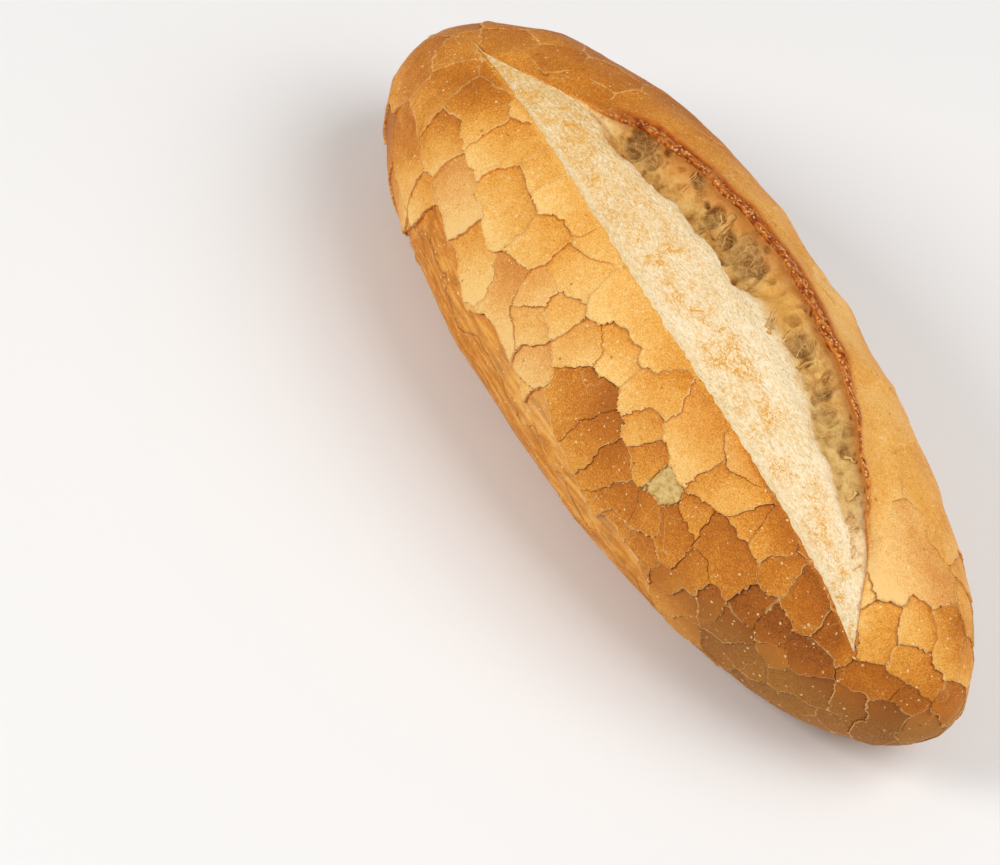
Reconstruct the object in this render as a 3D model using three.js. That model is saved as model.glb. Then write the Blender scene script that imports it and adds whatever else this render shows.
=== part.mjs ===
// A short crusty white loaf, scored once along its top.
//
// Frame: millimetres, +Z up. The loaf lies on its flat base at z = 0, its long
// axis is X, and the origin is under its middle. +X is its slimmer end, -Y the
// crackled side, +Y the side whose crust lifts into an ear along the cut.
//
// The skin is one closed grid. Its stations run from end to end, and the points
// of a station run from the middle of the base up the -Y side, across the open
// cut and down the +Y side. Seen across, the cut holds the bloom (the crumb that
// rose out of it), the crevice beside the bloom, and the torn wall under the lip.

import * as THREE from 'three';

// ---- Driving sizes of the whole loaf ----
const LENGTH = 210;
const WIDTH = 79.6;
const HEIGHT = 62;
const TIP_HEIGHT = 24; // height of the two end points above the base
const BASE_SINK = 3; // how far the round underside is cut off flat
const BELLY = 0.47; // height of the widest line, as a share of the section

// The fuller end is at -X: the widest station lies a little towards it.
const WIDEST_STATION = -0.12; // as a share of half the length
const PLAN_POWER = { far: 2.1, near: 2.0 };
const PLAN_ROOT = 0.54;
const CREST_POWER = { far: 2.5, near: 2.6 };
const KEEL_POWER = 3.9;
const SECTION_ROOT = 0.945; // upper half of the section, close to an ellipse
const SECTION_BASE_POWER = 2.3; // lower half, a little squarer
const AXIS_BOW = { side: 0.2, skew: 0.3, wave: -5.6 };

// ---- The cut along the top ----
const CUT_END = 88; // where it closes, each way along X
const SEAM = { middle: -10, skew: -6.5, bow: -6 }; // its straight -Y edge
const CUT_WIDTH = 33.5; // between the two edges of crust, at the widest
const CUT_WIDEST = 0.05;
const CUT_TAPER = { far: 2, near: 1 };
const CLOSED_WIDTH = 3; // width of the same rows where there is no cut
const BLOOM_SHARE = 0.58; // how much of the width the bloom takes
const BLOOM_FILL = { far: 0.4, near: 0.2, most: 0.97 }; // it takes more towards the ends
const BLOOM_FILL_SPAN = { far: [-34, -62], near: [55, 90] };
const BLOOM_RISE = 0.9;
const BLOOM_SHOULDER = 0.8; // how far its edge beside the crevice is rounded down
const SHOULDER_SPAN = [0.8, 1.05]; // as shares of the bloom's width
const SEAM_STEP = 0.4;
const SEAM_STEP_SHARE = 0.12;
const CREVICE_DEPTH = 7;
const CREVICE_LUMP = { height: 0.1, rate: 0.61 };
const BRIDGES = [
  { at: -44, spread: 5, share: 0.6 },
  { at: 14, spread: 6, share: 0.74 },
]; // where crumb still bridges the crevice
const SHALLOW = [
  { span: [12, 24], share: 0.62 },
  { span: [44, 58], share: 0.14 },
]; // the crevice gets shallow towards the near end
const SHALLOWEST = 0.8;
const SLOPE_SPAN = [5, 11]; // from here on the bloom slopes gently into the crevice
const CREVICE_PLACE = { sharp: 0.24, gentle: 0.6 }; // deepest line, across the gap
const DROP_POWER = { across: 1.6, down: 0.85 };
const WALL_POWER = 0.85;
const LIP_THICKNESS = 1.6;
const LIP_OVERHANG = 1.1;
const LIP_FACE = 0.8; // share of the lip's height that its inner rows cover
const EAR_RISE = 2.2;
const EAR_WIDTH = 9;
const OPEN_WIDTHS = [0, 9]; // the cut is fully open where it is this wide
const TORN_WIDTHS = [1, 8]; // and fully torn where the gap beside the bloom is

// ---- Relief of the baked surface ----
const PLATE_SIZE = { far: 14.5, near: 10.5 }; // crackled plates of crust
const PLATE_JITTER = 0.85;
const PLATE_STEP = 1.0;
const CRACK_DEPTH = 0.1;
const CRACK_REACH = 1.4; // grid points this close to a crack are moved onto it
const CRACK_SLIMNESS = 1.3; // the reach shrinks where the loaf is slimmer than this share
const PLATE_COLUMN_STEP = 0.87; // distance of two columns of plates, in plate sizes
const PLATE_LOW_SHARE = 0.35; // how much of a plate's step lies below the plain skin
const PLATE_SIZE_SPAN = [-60, 70];
const END_MARGIN = 2;
const EAR_SIDE_RELIEF = 0.4;
const EAR_SIDE_SPAN = [0, 14]; // where the relief fades: across the loaf, along it,
const END_RELIEF_SPAN = [66, 92];
const CUT_RELIEF_SPAN = [0, 5]; // beside the cut,
const BASE_RELIEF_SPAN = [7, 20]; // above the base
const SLIM_RELIEF_SPAN = [2, 12]; // and where the loaf is slim
const CELL_SIZE = 6; // holes in the torn crumb
const CELL_RADIUS = 0.6; // as a share of their size
const CELL_LEVEL = 0.4;
const CELL_STRETCH = 1.4;
const CELL_DEPTH = 1.0;
const CELL_LEAN = { across: 0.5, down: 0.85 };
const RAGGED_EDGE = 0.7;
const RAGGED_WAVES = [
  { rate: 0.31, shift: 0 },
  { rate: 0.13, shift: 1 },
];
const RAGGED_WIDTHS = [0, 12];

// ---- Grid: intervals along the loaf and round each stretch of a station ----
const STATIONS = 74;
const ROWS = { crackled: 31, bloom: 7, drop: 4, wall: 6, lip: 2, ear: 27 };

const CRUST_COLOUR = 0xd99a4e;

// ---- Small helpers ----
const { abs, asin, cos, max, min, PI, pow, sign, sin, sqrt } = Math;
const mix = (a, b, share) => a + (b - a) * share;
const clamp = (value) => min(1, max(0, value));

/** Smooth step from 0 at `from` to 1 at `to`. */
function ease(from, to, value) {
  const share = clamp((value - from) / (to - from));
  return share * share * (3 - 2 * share);
}

/** Smooth step over a span. */
const easeOver = ([from, to], value) => ease(from, to, value);

/** A fixed draw from 0 to 1 for a pair of whole numbers. */
function draw(a, b) {
  const wave = sin(a * 127.1 + b * 311.7) * 43758.5453;
  return wave - Math.floor(wave);
}

// ---- The plain body, before it was cut ----

/** Sizes of the section at x: half width, top, underside, widest line, centre. */
function sectionAt(x) {
  const t = (2 * x) / LENGTH;
  const side = t < WIDEST_STATION ? 'far' : 'near';
  const reach = side === 'far' ? 1 + WIDEST_STATION : 1 - WIDEST_STATION;
  const share = abs(t - WIDEST_STATION) / reach;
  const top = sqrt(max(0, 1 - pow(share, CREST_POWER[side])));
  const keel = 1 - sqrt(max(0, 1 - pow(abs(t), KEEL_POWER)));
  const crest = TIP_HEIGHT + (HEIGHT - TIP_HEIGHT) * top;
  const under = (TIP_HEIGHT + BASE_SINK) * keel - BASE_SINK;
  return {
    half: (WIDTH / 2) * pow(max(0, 1 - pow(share, PLAN_POWER[side])), PLAN_ROOT),
    crest,
    under,
    belly: under + BELLY * (crest - under),
    centre: AXIS_BOW.side * (1 - t * t) + AXIS_BOW.skew * t + AXIS_BOW.wave * t * (1 - t * t),
  };
}

/** Point of the plain body: angle 0 is under the loaf, PI on its crest. */
function bodyPoint(x, angle) {
  const { half, crest, under, belly, centre } = sectionAt(x);
  const across = sin(angle);
  const up = cos(angle);
  const lower = up > 0;
  const power = lower ? 2 / SECTION_BASE_POWER : SECTION_ROOT;
  const y = centre - half * sign(across) * pow(abs(across), power);
  const rise = pow(abs(up), power);
  const z = lower ? belly - (belly - under) * rise : belly + (crest - belly) * rise;
  return new THREE.Vector3(x, y, z);
}

/** Angle at which the upper half of section x passes y. */
function angleAt(x, y) {
  const { half, centre } = sectionAt(x);
  const share = (centre - y) / max(half, 1e-6);
  const bounded = sign(share) * min(0.98, abs(share));
  return PI - sign(bounded) * asin(pow(abs(bounded), 1 / SECTION_ROOT));
}

/** Direction away from the body at one of its points. */
function outward(x, angle) {
  const step = 0.01;
  const inner = LENGTH / 2 - 0.2;
  const at = min(inner, max(-inner, x));
  const round = bodyPoint(at, angle + step).sub(bodyPoint(at, angle - step));
  const along = bodyPoint(at + step, angle).sub(bodyPoint(at - step, angle));
  return along.cross(round).normalize().negate();
}

// ---- Lines of the cut, as y over x ----

function seamLine(x) {
  const s = x / CUT_END;
  return SEAM.middle + SEAM.skew * s + SEAM.bow * (1 - s * s);
}

/** Full width between the seam and the lip, 0 from CUT_END on. */
function openWidth(x) {
  const s = x / CUT_END - CUT_WIDEST;
  const far = s < 0;
  const share = min(1, abs(s) / (far ? 1 + CUT_WIDEST : 1 - CUT_WIDEST));
  return CUT_WIDTH * pow(1 - share * share, far ? CUT_TAPER.far : CUT_TAPER.near);
}

/** Share of the open width that the bloom fills: all of it towards the ends. */
function bloomShare(x) {
  const farEnd = easeOver(BLOOM_FILL_SPAN.far, x);
  const nearEnd = easeOver(BLOOM_FILL_SPAN.near, x);
  return min(BLOOM_FILL.most, BLOOM_SHARE + BLOOM_FILL.far * farEnd + BLOOM_FILL.near * nearEnd);
}

/** y of the cut's four edges at x, kept apart where the cut is closed. */
function cutLines(x) {
  const inside = min(CUT_END, max(-CUT_END, x));
  const start = sectionAt(inside);
  const here = sectionAt(x);
  const scale = here.half / start.half;
  const onSection = (y) => here.centre + (y - start.centre) * scale;
  const seam = seamLine(inside);
  const waves = RAGGED_WAVES.reduce((product, wave) => product * sin(wave.rate * x + wave.shift), 1);
  const ragged = RAGGED_EDGE * waves * easeOver(RAGGED_WIDTHS, openWidth(x));
  const width = max(CLOSED_WIDTH, openWidth(inside));
  const gap = max(CLOSED_WIDTH * 0.5, width * (1 - bloomShare(inside)));
  return {
    seam: onSection(seam),
    bloomEdge: onSection(seam + width - gap - ragged),
    lip: onSection(seam + width + ragged),
  };
}

/** 0 to 1: how far the cut is open, and how far the crumb beside it is torn. */
const openness = (x) => easeOver(OPEN_WIDTHS, openWidth(x));
const tearness = (x) => easeOver(TORN_WIDTHS, openWidth(x) * (1 - bloomShare(x)));

/** Depth of the crevice at x, where it is fully torn. */
function creviceDepth(x) {
  const bell = ({ at, spread, share }) => share * Math.exp(-(((x - at) / spread) ** 2));
  const fill = ({ span, share }) => share * easeOver(span, x);
  const filled = [...BRIDGES.map(bell), ...SHALLOW.map(fill)].reduce((sum, part) => sum + part, 0);
  const lump = 1 + CREVICE_LUMP.height * sin(CREVICE_LUMP.rate * x);
  return CREVICE_DEPTH * lump * (1 - min(filled, SHALLOWEST));
}

// ---- Relief ----

/** Middles of the crackled plates: a staggered lattice round the body, shaken. */
function plateMiddles() {
  const middles = [];
  const last = LENGTH / 2 - END_MARGIN;
  let x = -last;
  for (let column = 0; x < last; column++) {
    const size = mix(PLATE_SIZE.far, PLATE_SIZE.near, easeOver(PLATE_SIZE_SPAN, x));
    const { half, crest } = sectionAt(x);
    const girth = PI * (half + crest / 2);
    const count = max(4, Math.round(girth / size));
    for (let row = 0; row < count; row++) {
      const shake = PLATE_JITTER * (draw(column, row) - 0.5);
      const angle = ((row + 0.5 * (column % 2) + shake) / count) * 2 * PI;
      const drift = PLATE_JITTER * size * (draw(row + 40, column) - 0.5);
      const at = min(last, max(-last, x + drift));
      const step = PLATE_STEP * (draw(column + 90, row + 7) - PLATE_LOW_SHARE);
      middles.push({ point: bodyPoint(at, angle), step });
    }
    x += size * PLATE_COLUMN_STEP;
  }
  return middles;
}

const plates = plateMiddles();

/** The plate under a point, its neighbour, and the distance to their crack. */
function nearestCrack(point) {
  let first = null;
  let second = null;
  let firstGap = Infinity;
  let secondGap = Infinity;
  for (const plate of plates) {
    const gap = plate.point.distanceToSquared(point);
    if (gap < firstGap) {
      second = first;
      secondGap = firstGap;
      first = plate;
      firstGap = gap;
    } else if (gap < secondGap) {
      second = plate;
      secondGap = gap;
    }
  }
  const across = second.point.clone().sub(first.point);
  const distance = (secondGap - firstGap) / (2 * across.length());
  return { plate: first, across: across.normalize(), distance };
}

/** Crust relief: the point is moved onto a near crack, then up or down. */
function crackle(point, normal, strength) {
  const { plate, across, distance } = nearestCrack(point);
  const slimness = min(1, (CRACK_SLIMNESS * sectionAt(point.x).half) / (WIDTH / 2));
  const onCrack = distance < CRACK_REACH * slimness * slimness;
  if (onCrack) {
    across.addScaledVector(normal, -across.dot(normal));
    point.addScaledVector(across, distance * strength);
  }
  const height = onCrack ? -CRACK_DEPTH : plate.step;
  return point.addScaledVector(normal, height * strength);
}

/** How strongly the crust is crackled, from its side and height. */
function crackleStrength(point, fromCut) {
  const { centre, half } = sectionAt(point.x);
  const earSide = easeOver(EAR_SIDE_SPAN, point.y - centre);
  const ends = easeOver(END_RELIEF_SPAN, abs(point.x));
  const side = mix(1, EAR_SIDE_RELIEF, earSide * (1 - ends));
  const beside = easeOver(CUT_RELIEF_SPAN, fromCut) * easeOver(BASE_RELIEF_SPAN, point.z);
  return side * beside * easeOver(SLIM_RELIEF_SPAN, half);
}

/** Depth of the holes in the torn crumb. */
function cellDepth(x, across) {
  const column = Math.floor(x / CELL_SIZE);
  const row = Math.floor(across / CELL_SIZE);
  let depth = 0;
  for (let i = -1; i <= 1; i++) {
    for (let j = -1; j <= 1; j++) {
      const middleX = (column + i + draw(column + i, row + j + 20)) * CELL_SIZE;
      const middleY = (row + j + draw(row + j + 60, column + i)) * CELL_SIZE;
      const gap = Math.hypot(x - middleX, across - middleY) / (CELL_SIZE * CELL_RADIUS);
      depth = max(depth, 1 - gap * gap);
    }
  }
  return CELL_DEPTH * (depth - CELL_LEVEL);
}

// ---- Points of one station ----

/** Height of the plain body over (x, y). */
const skinHeight = (x, y) => bodyPoint(x, angleAt(x, y)).z;

/** The ear: the crust beside the lip, lifted by the tear. */
function earRise(x, fromLip) {
  return EAR_RISE * tearness(x) * Math.exp(-fromLip / EAR_WIDTH);
}

/** Crust from `start` to `end`, both angles, with its relief. */
function crustStretch(x, start, end, count, cutAtEnd) {
  const points = [];
  for (let row = 0; row < count; row++) {
    const share = row / count;
    const angle = mix(start, end, share);
    const point = bodyPoint(x, angle);
    const normal = outward(x, angle);
    const edge = bodyPoint(x, cutAtEnd ? end : start);
    const fromCut = point.distanceTo(edge);
    crackle(point, normal, crackleStrength(point, fromCut));
    if (!cutAtEnd) point.z += earRise(x, fromCut);
    point.z = max(0, point.z);
    points.push(point);
  }
  return points;
}

/** The open cut at station x, from the seam across to the lip. */
function cutStretch(x) {
  const { seam, bloomEdge, lip } = cutLines(x);
  const open = openness(x);
  const torn = tearness(x);
  const points = [];
  for (let row = 0; row < ROWS.bloom; row++) {
    const share = row / ROWS.bloom;
    const y = mix(seam, bloomEdge, share);
    const shoulder = BLOOM_SHOULDER * torn * easeOver(SHOULDER_SPAN, share);
    const step = SEAM_STEP * ease(0, SEAM_STEP_SHARE, share);
    const rise = BLOOM_RISE * sin(PI * share) - shoulder - step;
    points.push(new THREE.Vector3(x, y, skinHeight(x, y) + open * rise));
  }

  const slope = easeOver(SLOPE_SPAN, x);
  const edgeDown = BLOOM_SHOULDER * torn + SEAM_STEP * open;
  const edgeZ = skinHeight(x, bloomEdge) - edgeDown;
  const deepY = mix(bloomEdge, lip, mix(CREVICE_PLACE.sharp, CREVICE_PLACE.gentle, slope));
  const deepZ = skinHeight(x, deepY) - max(creviceDepth(x) * torn, edgeDown);
  for (let row = 0; row < ROWS.drop; row++) {
    const share = row / ROWS.drop;
    const across = mix(pow(share, DROP_POWER.across), share, slope);
    const down = mix(pow(share, DROP_POWER.down), ease(0, 1, share), slope);
    points.push(new THREE.Vector3(x, mix(bloomEdge, deepY, across), mix(edgeZ, deepZ, down)));
  }

  const lipZ = skinHeight(x, lip);
  const lipTop = lipZ + earRise(x, 0);
  const underY = lip + LIP_OVERHANG * torn;
  const underZ = lipTop - LIP_THICKNESS * torn;
  for (let row = 0; row < ROWS.wall; row++) {
    const share = row / ROWS.wall;
    const inWall = torn * sin(PI * (0.15 + 0.8 * share));
    const hole = cellDepth(x, (underY - deepY) * share * CELL_STRETCH) * inWall;
    const y = mix(deepY, underY, pow(share, WALL_POWER)) + hole * CELL_LEAN.across;
    points.push(new THREE.Vector3(x, y, mix(deepZ, underZ, share) - hole * CELL_LEAN.down));
  }
  for (let row = 0; row < ROWS.lip; row++) {
    const share = row / ROWS.lip;
    const z = mix(underZ, lipTop, share * LIP_FACE);
    points.push(new THREE.Vector3(x, mix(underY, lip, share), z));
  }
  return points;
}

function stationPoints(x) {
  const { seam, lip } = cutLines(x);
  const seamAngle = angleAt(x, seam);
  const lipAngle = angleAt(x, lip);
  return [
    ...crustStretch(x, 0, seamAngle, ROWS.crackled, true),
    ...cutStretch(x),
    ...crustStretch(x, lipAngle, 2 * PI, ROWS.ear, false),
  ];
}

// ---- The closed skin ----

/** Places of the stations, at even steps along the loaf's outline. */
function stationPlaces() {
  const samples = 2000;
  const places = [-LENGTH / 2];
  const lengths = [0];
  let last = new THREE.Vector2(-LENGTH / 2, 0);
  for (let i = 1; i <= samples; i++) {
    const x = (-LENGTH / 2) * cos((PI * i) / samples);
    const point = new THREE.Vector2(x, sectionAt(x).half);
    lengths.push(lengths[i - 1] + point.distanceTo(last));
    places.push(x);
    last = point;
  }
  const stations = [];
  let from = 0;
  for (let i = 1; i < STATIONS; i++) {
    const wanted = (lengths[samples] * i) / STATIONS;
    while (lengths[from + 1] < wanted) from++;
    const share = (wanted - lengths[from]) / (lengths[from + 1] - lengths[from]);
    stations.push(mix(places[from], places[from + 1], share));
  }
  return stations;
}

function loafGeometry() {
  const stations = stationPlaces().map(stationPoints);
  const round = stations[0].length;
  const ends = [-1, 1].map((way) => new THREE.Vector3((way * LENGTH) / 2, 0, TIP_HEIGHT));
  const points = [...stations.flat(), ...ends];
  const at = (station, row) => station * round + (row % round);
  const farEnd = stations.length * round;
  const nearEnd = farEnd + 1;
  const last = stations.length - 1;
  const triangles = [];
  for (let row = 0; row < round; row++) {
    triangles.push(farEnd, at(0, row), at(0, row + 1));
    triangles.push(nearEnd, at(last, row + 1), at(last, row));
    for (let station = 0; station < last; station++) {
      const a = at(station, row);
      const b = at(station + 1, row);
      const c = at(station + 1, row + 1);
      const d = at(station, row + 1);
      const shortAC = points[a].distanceTo(points[c]) < points[b].distanceTo(points[d]);
      if (shortAC) triangles.push(a, b, c, a, c, d);
      else triangles.push(a, b, d, b, c, d);
    }
  }
  const geometry = new THREE.BufferGeometry().setFromPoints(points);
  geometry.setIndex(triangles);
  geometry.computeBoundingBox();
  const middle = geometry.boundingBox.getCenter(new THREE.Vector3());
  geometry.translate(-middle.x, -middle.y, 0);
  geometry.computeVertexNormals();
  return geometry;
}

const crust = new THREE.MeshStandardMaterial({
  color: CRUST_COLOUR,
  roughness: 0.6,
  metalness: 0,
});

const loaf = new THREE.Mesh(loafGeometry(), crust);
loaf.name = 'loaf';

const model = new THREE.Group();
model.add(loaf);

export default model;
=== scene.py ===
"""A short crusty white loaf with one long cut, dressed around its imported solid.

The loaf lies on its flat base, long axis along X, slimmer end at +X, crackled
side at -Y and the lifted ear of crust at +Y. Shapes are worked out in
millimetres from the same named sizes as the solid, and put into Blender in metres.
"""

import logging
from dataclasses import dataclass, field
from enum import Enum
from typing import NamedTuple

import bpy
import numpy as np
from mathutils import Matrix

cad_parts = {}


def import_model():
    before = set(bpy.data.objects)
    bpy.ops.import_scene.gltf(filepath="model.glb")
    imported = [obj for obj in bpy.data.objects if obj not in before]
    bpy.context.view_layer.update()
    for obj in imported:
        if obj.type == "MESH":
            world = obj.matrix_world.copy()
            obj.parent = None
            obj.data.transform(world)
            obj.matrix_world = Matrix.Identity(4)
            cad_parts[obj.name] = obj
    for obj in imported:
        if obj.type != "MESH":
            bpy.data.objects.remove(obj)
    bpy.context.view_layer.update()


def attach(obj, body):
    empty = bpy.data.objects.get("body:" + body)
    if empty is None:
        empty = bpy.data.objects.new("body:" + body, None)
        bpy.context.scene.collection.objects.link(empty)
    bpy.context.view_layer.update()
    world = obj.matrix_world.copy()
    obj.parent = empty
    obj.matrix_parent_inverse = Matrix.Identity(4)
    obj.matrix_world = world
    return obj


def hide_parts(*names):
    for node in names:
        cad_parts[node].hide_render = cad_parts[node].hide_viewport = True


Array = np.ndarray
Node = bpy.types.Node
Socket = bpy.types.NodeSocket
Rgb = tuple[int, int, int]
Stop = tuple[float, int, int, int]
LOG = logging.getLogger("loaf")
MM = 0.001
ROOT = "root"
NODE = "loaf"


# ---------------------------------------------------------------- arithmetic


def mix(start: Array | float, end: Array | float, share: Array | float) -> Array:
    """Blend from start to end by share."""
    return start + (end - start) * share


def ease(low: float, high: float, value: Array) -> Array:
    """Smooth step: 0 at low, 1 at high, flat at both."""
    share = np.clip((value - low) / (high - low), 0.0, 1.0)
    return share * share * (3.0 - 2.0 * share)


def unit(vectors: Array) -> Array:
    """Scale vectors on the last axis to length one."""
    length = np.linalg.norm(vectors, axis=-1, keepdims=True)
    return vectors / np.maximum(length, 1e-9)


def sideways(vectors: Array, normals: Array) -> Array:
    """Part of the vectors that is square to the normals."""
    return vectors - normals * (vectors * normals).sum(-1, keepdims=True)


def bell(gap: Array, width: float, power: int = 2) -> Array:
    """Hump that is 1 where there is no gap and falls off over its width."""
    return np.exp(-((gap / width) ** power))


def lattice_draw(cell: Array, seed: int) -> Array:
    """Draw a fixed number from 0 to 1 for each whole-number cell.

    Args:
        cell: Whole numbers, shape (..., 3).
        seed: Which draw.

    Returns:
        Numbers from 0 to 1, shape (...).
    """
    i, j, k = (cell[..., axis].astype(np.int64).astype(np.uint32) for axis in range(3))
    mixed = i * np.uint32(374761393) + j * np.uint32(668265263) + k * np.uint32(2246822519)
    mixed = mixed + np.uint32((seed * 974634777) & 0xFFFFFFFF)
    mixed = (mixed ^ (mixed >> np.uint32(13))) * np.uint32(1274126177)
    mixed = (mixed ^ (mixed >> np.uint32(15))) * np.uint32(2654435761)
    return (mixed ^ (mixed >> np.uint32(16))) / np.float64(2**32)


def noise(points: Array, size: float, seed: int) -> Array:
    """Smooth noise from -1 to 1: lattice draws blended over cubes of that size.

    Args:
        points: Positions, shape (..., 3).
        size: Side of a cube.
        seed: Which noise.

    Returns:
        Noise, shape (...).
    """
    scaled = points / size
    base = np.floor(scaled)
    part = scaled - base
    part = part * part * part * (part * (part * 6.0 - 15.0) + 10.0)
    total = np.zeros(points.shape[:-1])
    for corner in np.ndindex(2, 2, 2):
        step = np.array(corner)
        weight = np.prod(np.where(step == 1, part, 1.0 - part), axis=-1)
        total += weight * lattice_draw(base + step, seed)
    return 2.0 * total - 1.0


def rough_noise(points: Array, size: float, seed: int, octaves: int = 3) -> Array:
    """Sum of noises, each half the size and half the height of the last."""
    total = np.zeros(points.shape[:-1])
    for octave in range(octaves):
        total += noise(points, size / 2**octave, seed + octave) * 0.5**octave
    return total / (2.0 - 2.0 ** (1 - octaves))


def noises(points: Array, size: float, seed: int, count: int = 3) -> Array:
    """Noises of consecutive seeds, stacked on a last axis."""
    return np.stack([noise(points, size, seed + n) for n in range(count)], -1)


def on_line(x: Array, height: float) -> Array:
    """Points over x on a line along X, at which noise is read."""
    return np.stack([x, x * 0, x * 0 + height], -1)


class Cells(NamedTuple):
    """Nearest and second nearest distance to scattered middles, and a draw."""

    near: Array
    second: Array
    draw: Array


def cells(points: Array, size: float, seed: int) -> Cells:
    """Scatter one middle in each cube of that size and measure to them.

    Args:
        points: Positions, shape (..., 3).
        size: Side of a cube.
        seed: Which scatter.

    Returns:
        Distances in the points' own unit, and a draw for the nearest middle.
    """
    scaled = points / size
    base = np.floor(scaled)
    near = np.full(points.shape[:-1], 9.0)
    second = near.copy()
    drawn = np.zeros_like(near)
    for corner in np.ndindex(3, 3, 3):
        cell = base + np.array(corner) - 1.0
        middle = cell + np.stack([lattice_draw(cell, seed + n) for n in range(3)], -1)
        gap = np.linalg.norm(middle - scaled, axis=-1)
        closer = gap < near
        second = np.where(closer, near, np.minimum(second, gap))
        drawn = np.where(closer, lattice_draw(cell, seed + 3), drawn)
        near = np.where(closer, gap, near)
    return Cells(near * size, second * size, drawn)


# --------------------------------------------------------------- plain form


class Section(NamedTuple):
    """Sizes of the plain loaf's section at each x."""

    half: Array
    crest: Array
    under: Array
    belly: Array
    centre: Array


@dataclass(frozen=True)
class LoafBody:
    """The plain loaf before its cut: a bent ellipse-like body on a flat base."""

    length: float = 210.0
    width: float = 79.6
    height: float = 62.0
    tip_height: float = 24.0
    base_sink: float = 3.0
    belly_share: float = 0.47
    widest: float = -0.12
    plan_powers: tuple[float, float] = (2.1, 2.0)
    plan_root: float = 0.54
    crest_powers: tuple[float, float] = (2.5, 2.6)
    keel_power: float = 3.9
    upper_root: float = 0.945
    lower_power: float = 2.3
    bow: tuple[float, float, float] = (0.2, 0.3, -5.6)

    def section(self, x: Array) -> Section:
        """Half width, top, underside, widest line and centre at x.

        Width and top fall as (1 - share^power)^root from the widest station to
        both ends, and the underside rises as 1 - sqrt(1 - t^power).
        """
        t = np.clip(2.0 * x / self.length, -1.0, 1.0)
        far = t < self.widest
        reach = np.where(far, 1.0 + self.widest, 1.0 - self.widest)
        share = np.minimum(np.abs(t - self.widest) / reach, 1.0)
        plan = 1.0 - share ** np.where(far, *self.plan_powers)
        top = np.sqrt(1.0 - share ** np.where(far, *self.crest_powers))
        keel = 1.0 - np.sqrt(1.0 - np.abs(t) ** self.keel_power)
        crest = self.tip_height + (self.height - self.tip_height) * top
        under = (self.tip_height + self.base_sink) * keel - self.base_sink
        side, skew, wave = self.bow
        centre = side * (1 - t * t) + skew * t + wave * t * (1 - t * t)
        belly = under + self.belly_share * (crest - under)
        return Section(self.width / 2 * plan**self.plan_root, crest, under, belly, centre)

    def point(self, x: Array, angle: Array) -> Array:
        """Point of the body: angle 0 is under it, pi on its crest, -Y between."""
        s = self.section(x)
        across, up = np.sin(angle), np.cos(angle)
        lower = up > 0
        power = np.where(lower, 2.0 / self.lower_power, self.upper_root)
        y = s.centre - s.half * np.sign(across) * np.abs(across) ** power
        rise = np.abs(up) ** power
        z = np.where(lower, mix(s.belly, s.under, rise), mix(s.belly, s.crest, rise))
        return np.stack(np.broadcast_arrays(x, y, z), axis=-1)

    def angle_at(self, x: Array, y: Array) -> Array:
        """Angle at which the upper half of section x passes y."""
        s = self.section(x)
        share = np.clip((s.centre - y) / np.maximum(s.half, 1e-6), -0.98, 0.98)
        return np.pi - np.sign(share) * np.arcsin(np.abs(share) ** (1 / self.upper_root))

    def height_at(self, x: Array, y: Array) -> Array:
        """Height of the body's top over (x, y)."""
        return self.point(x, self.angle_at(x, y))[..., 2]

    def middle(self) -> float:
        """y of the middle of the body's width, which the frame puts at 0."""
        s = self.section(np.linspace(-self.length / 2, self.length / 2, 401))
        return float((s.centre - s.half).min() + (s.centre + s.half).max()) / 2


class CutLines(NamedTuple):
    """y of the cut's edges at each x, and how dug and how torn it is there."""

    seam: Array
    bloom: Array
    lip: Array
    dug: Array
    torn: Array


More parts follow.
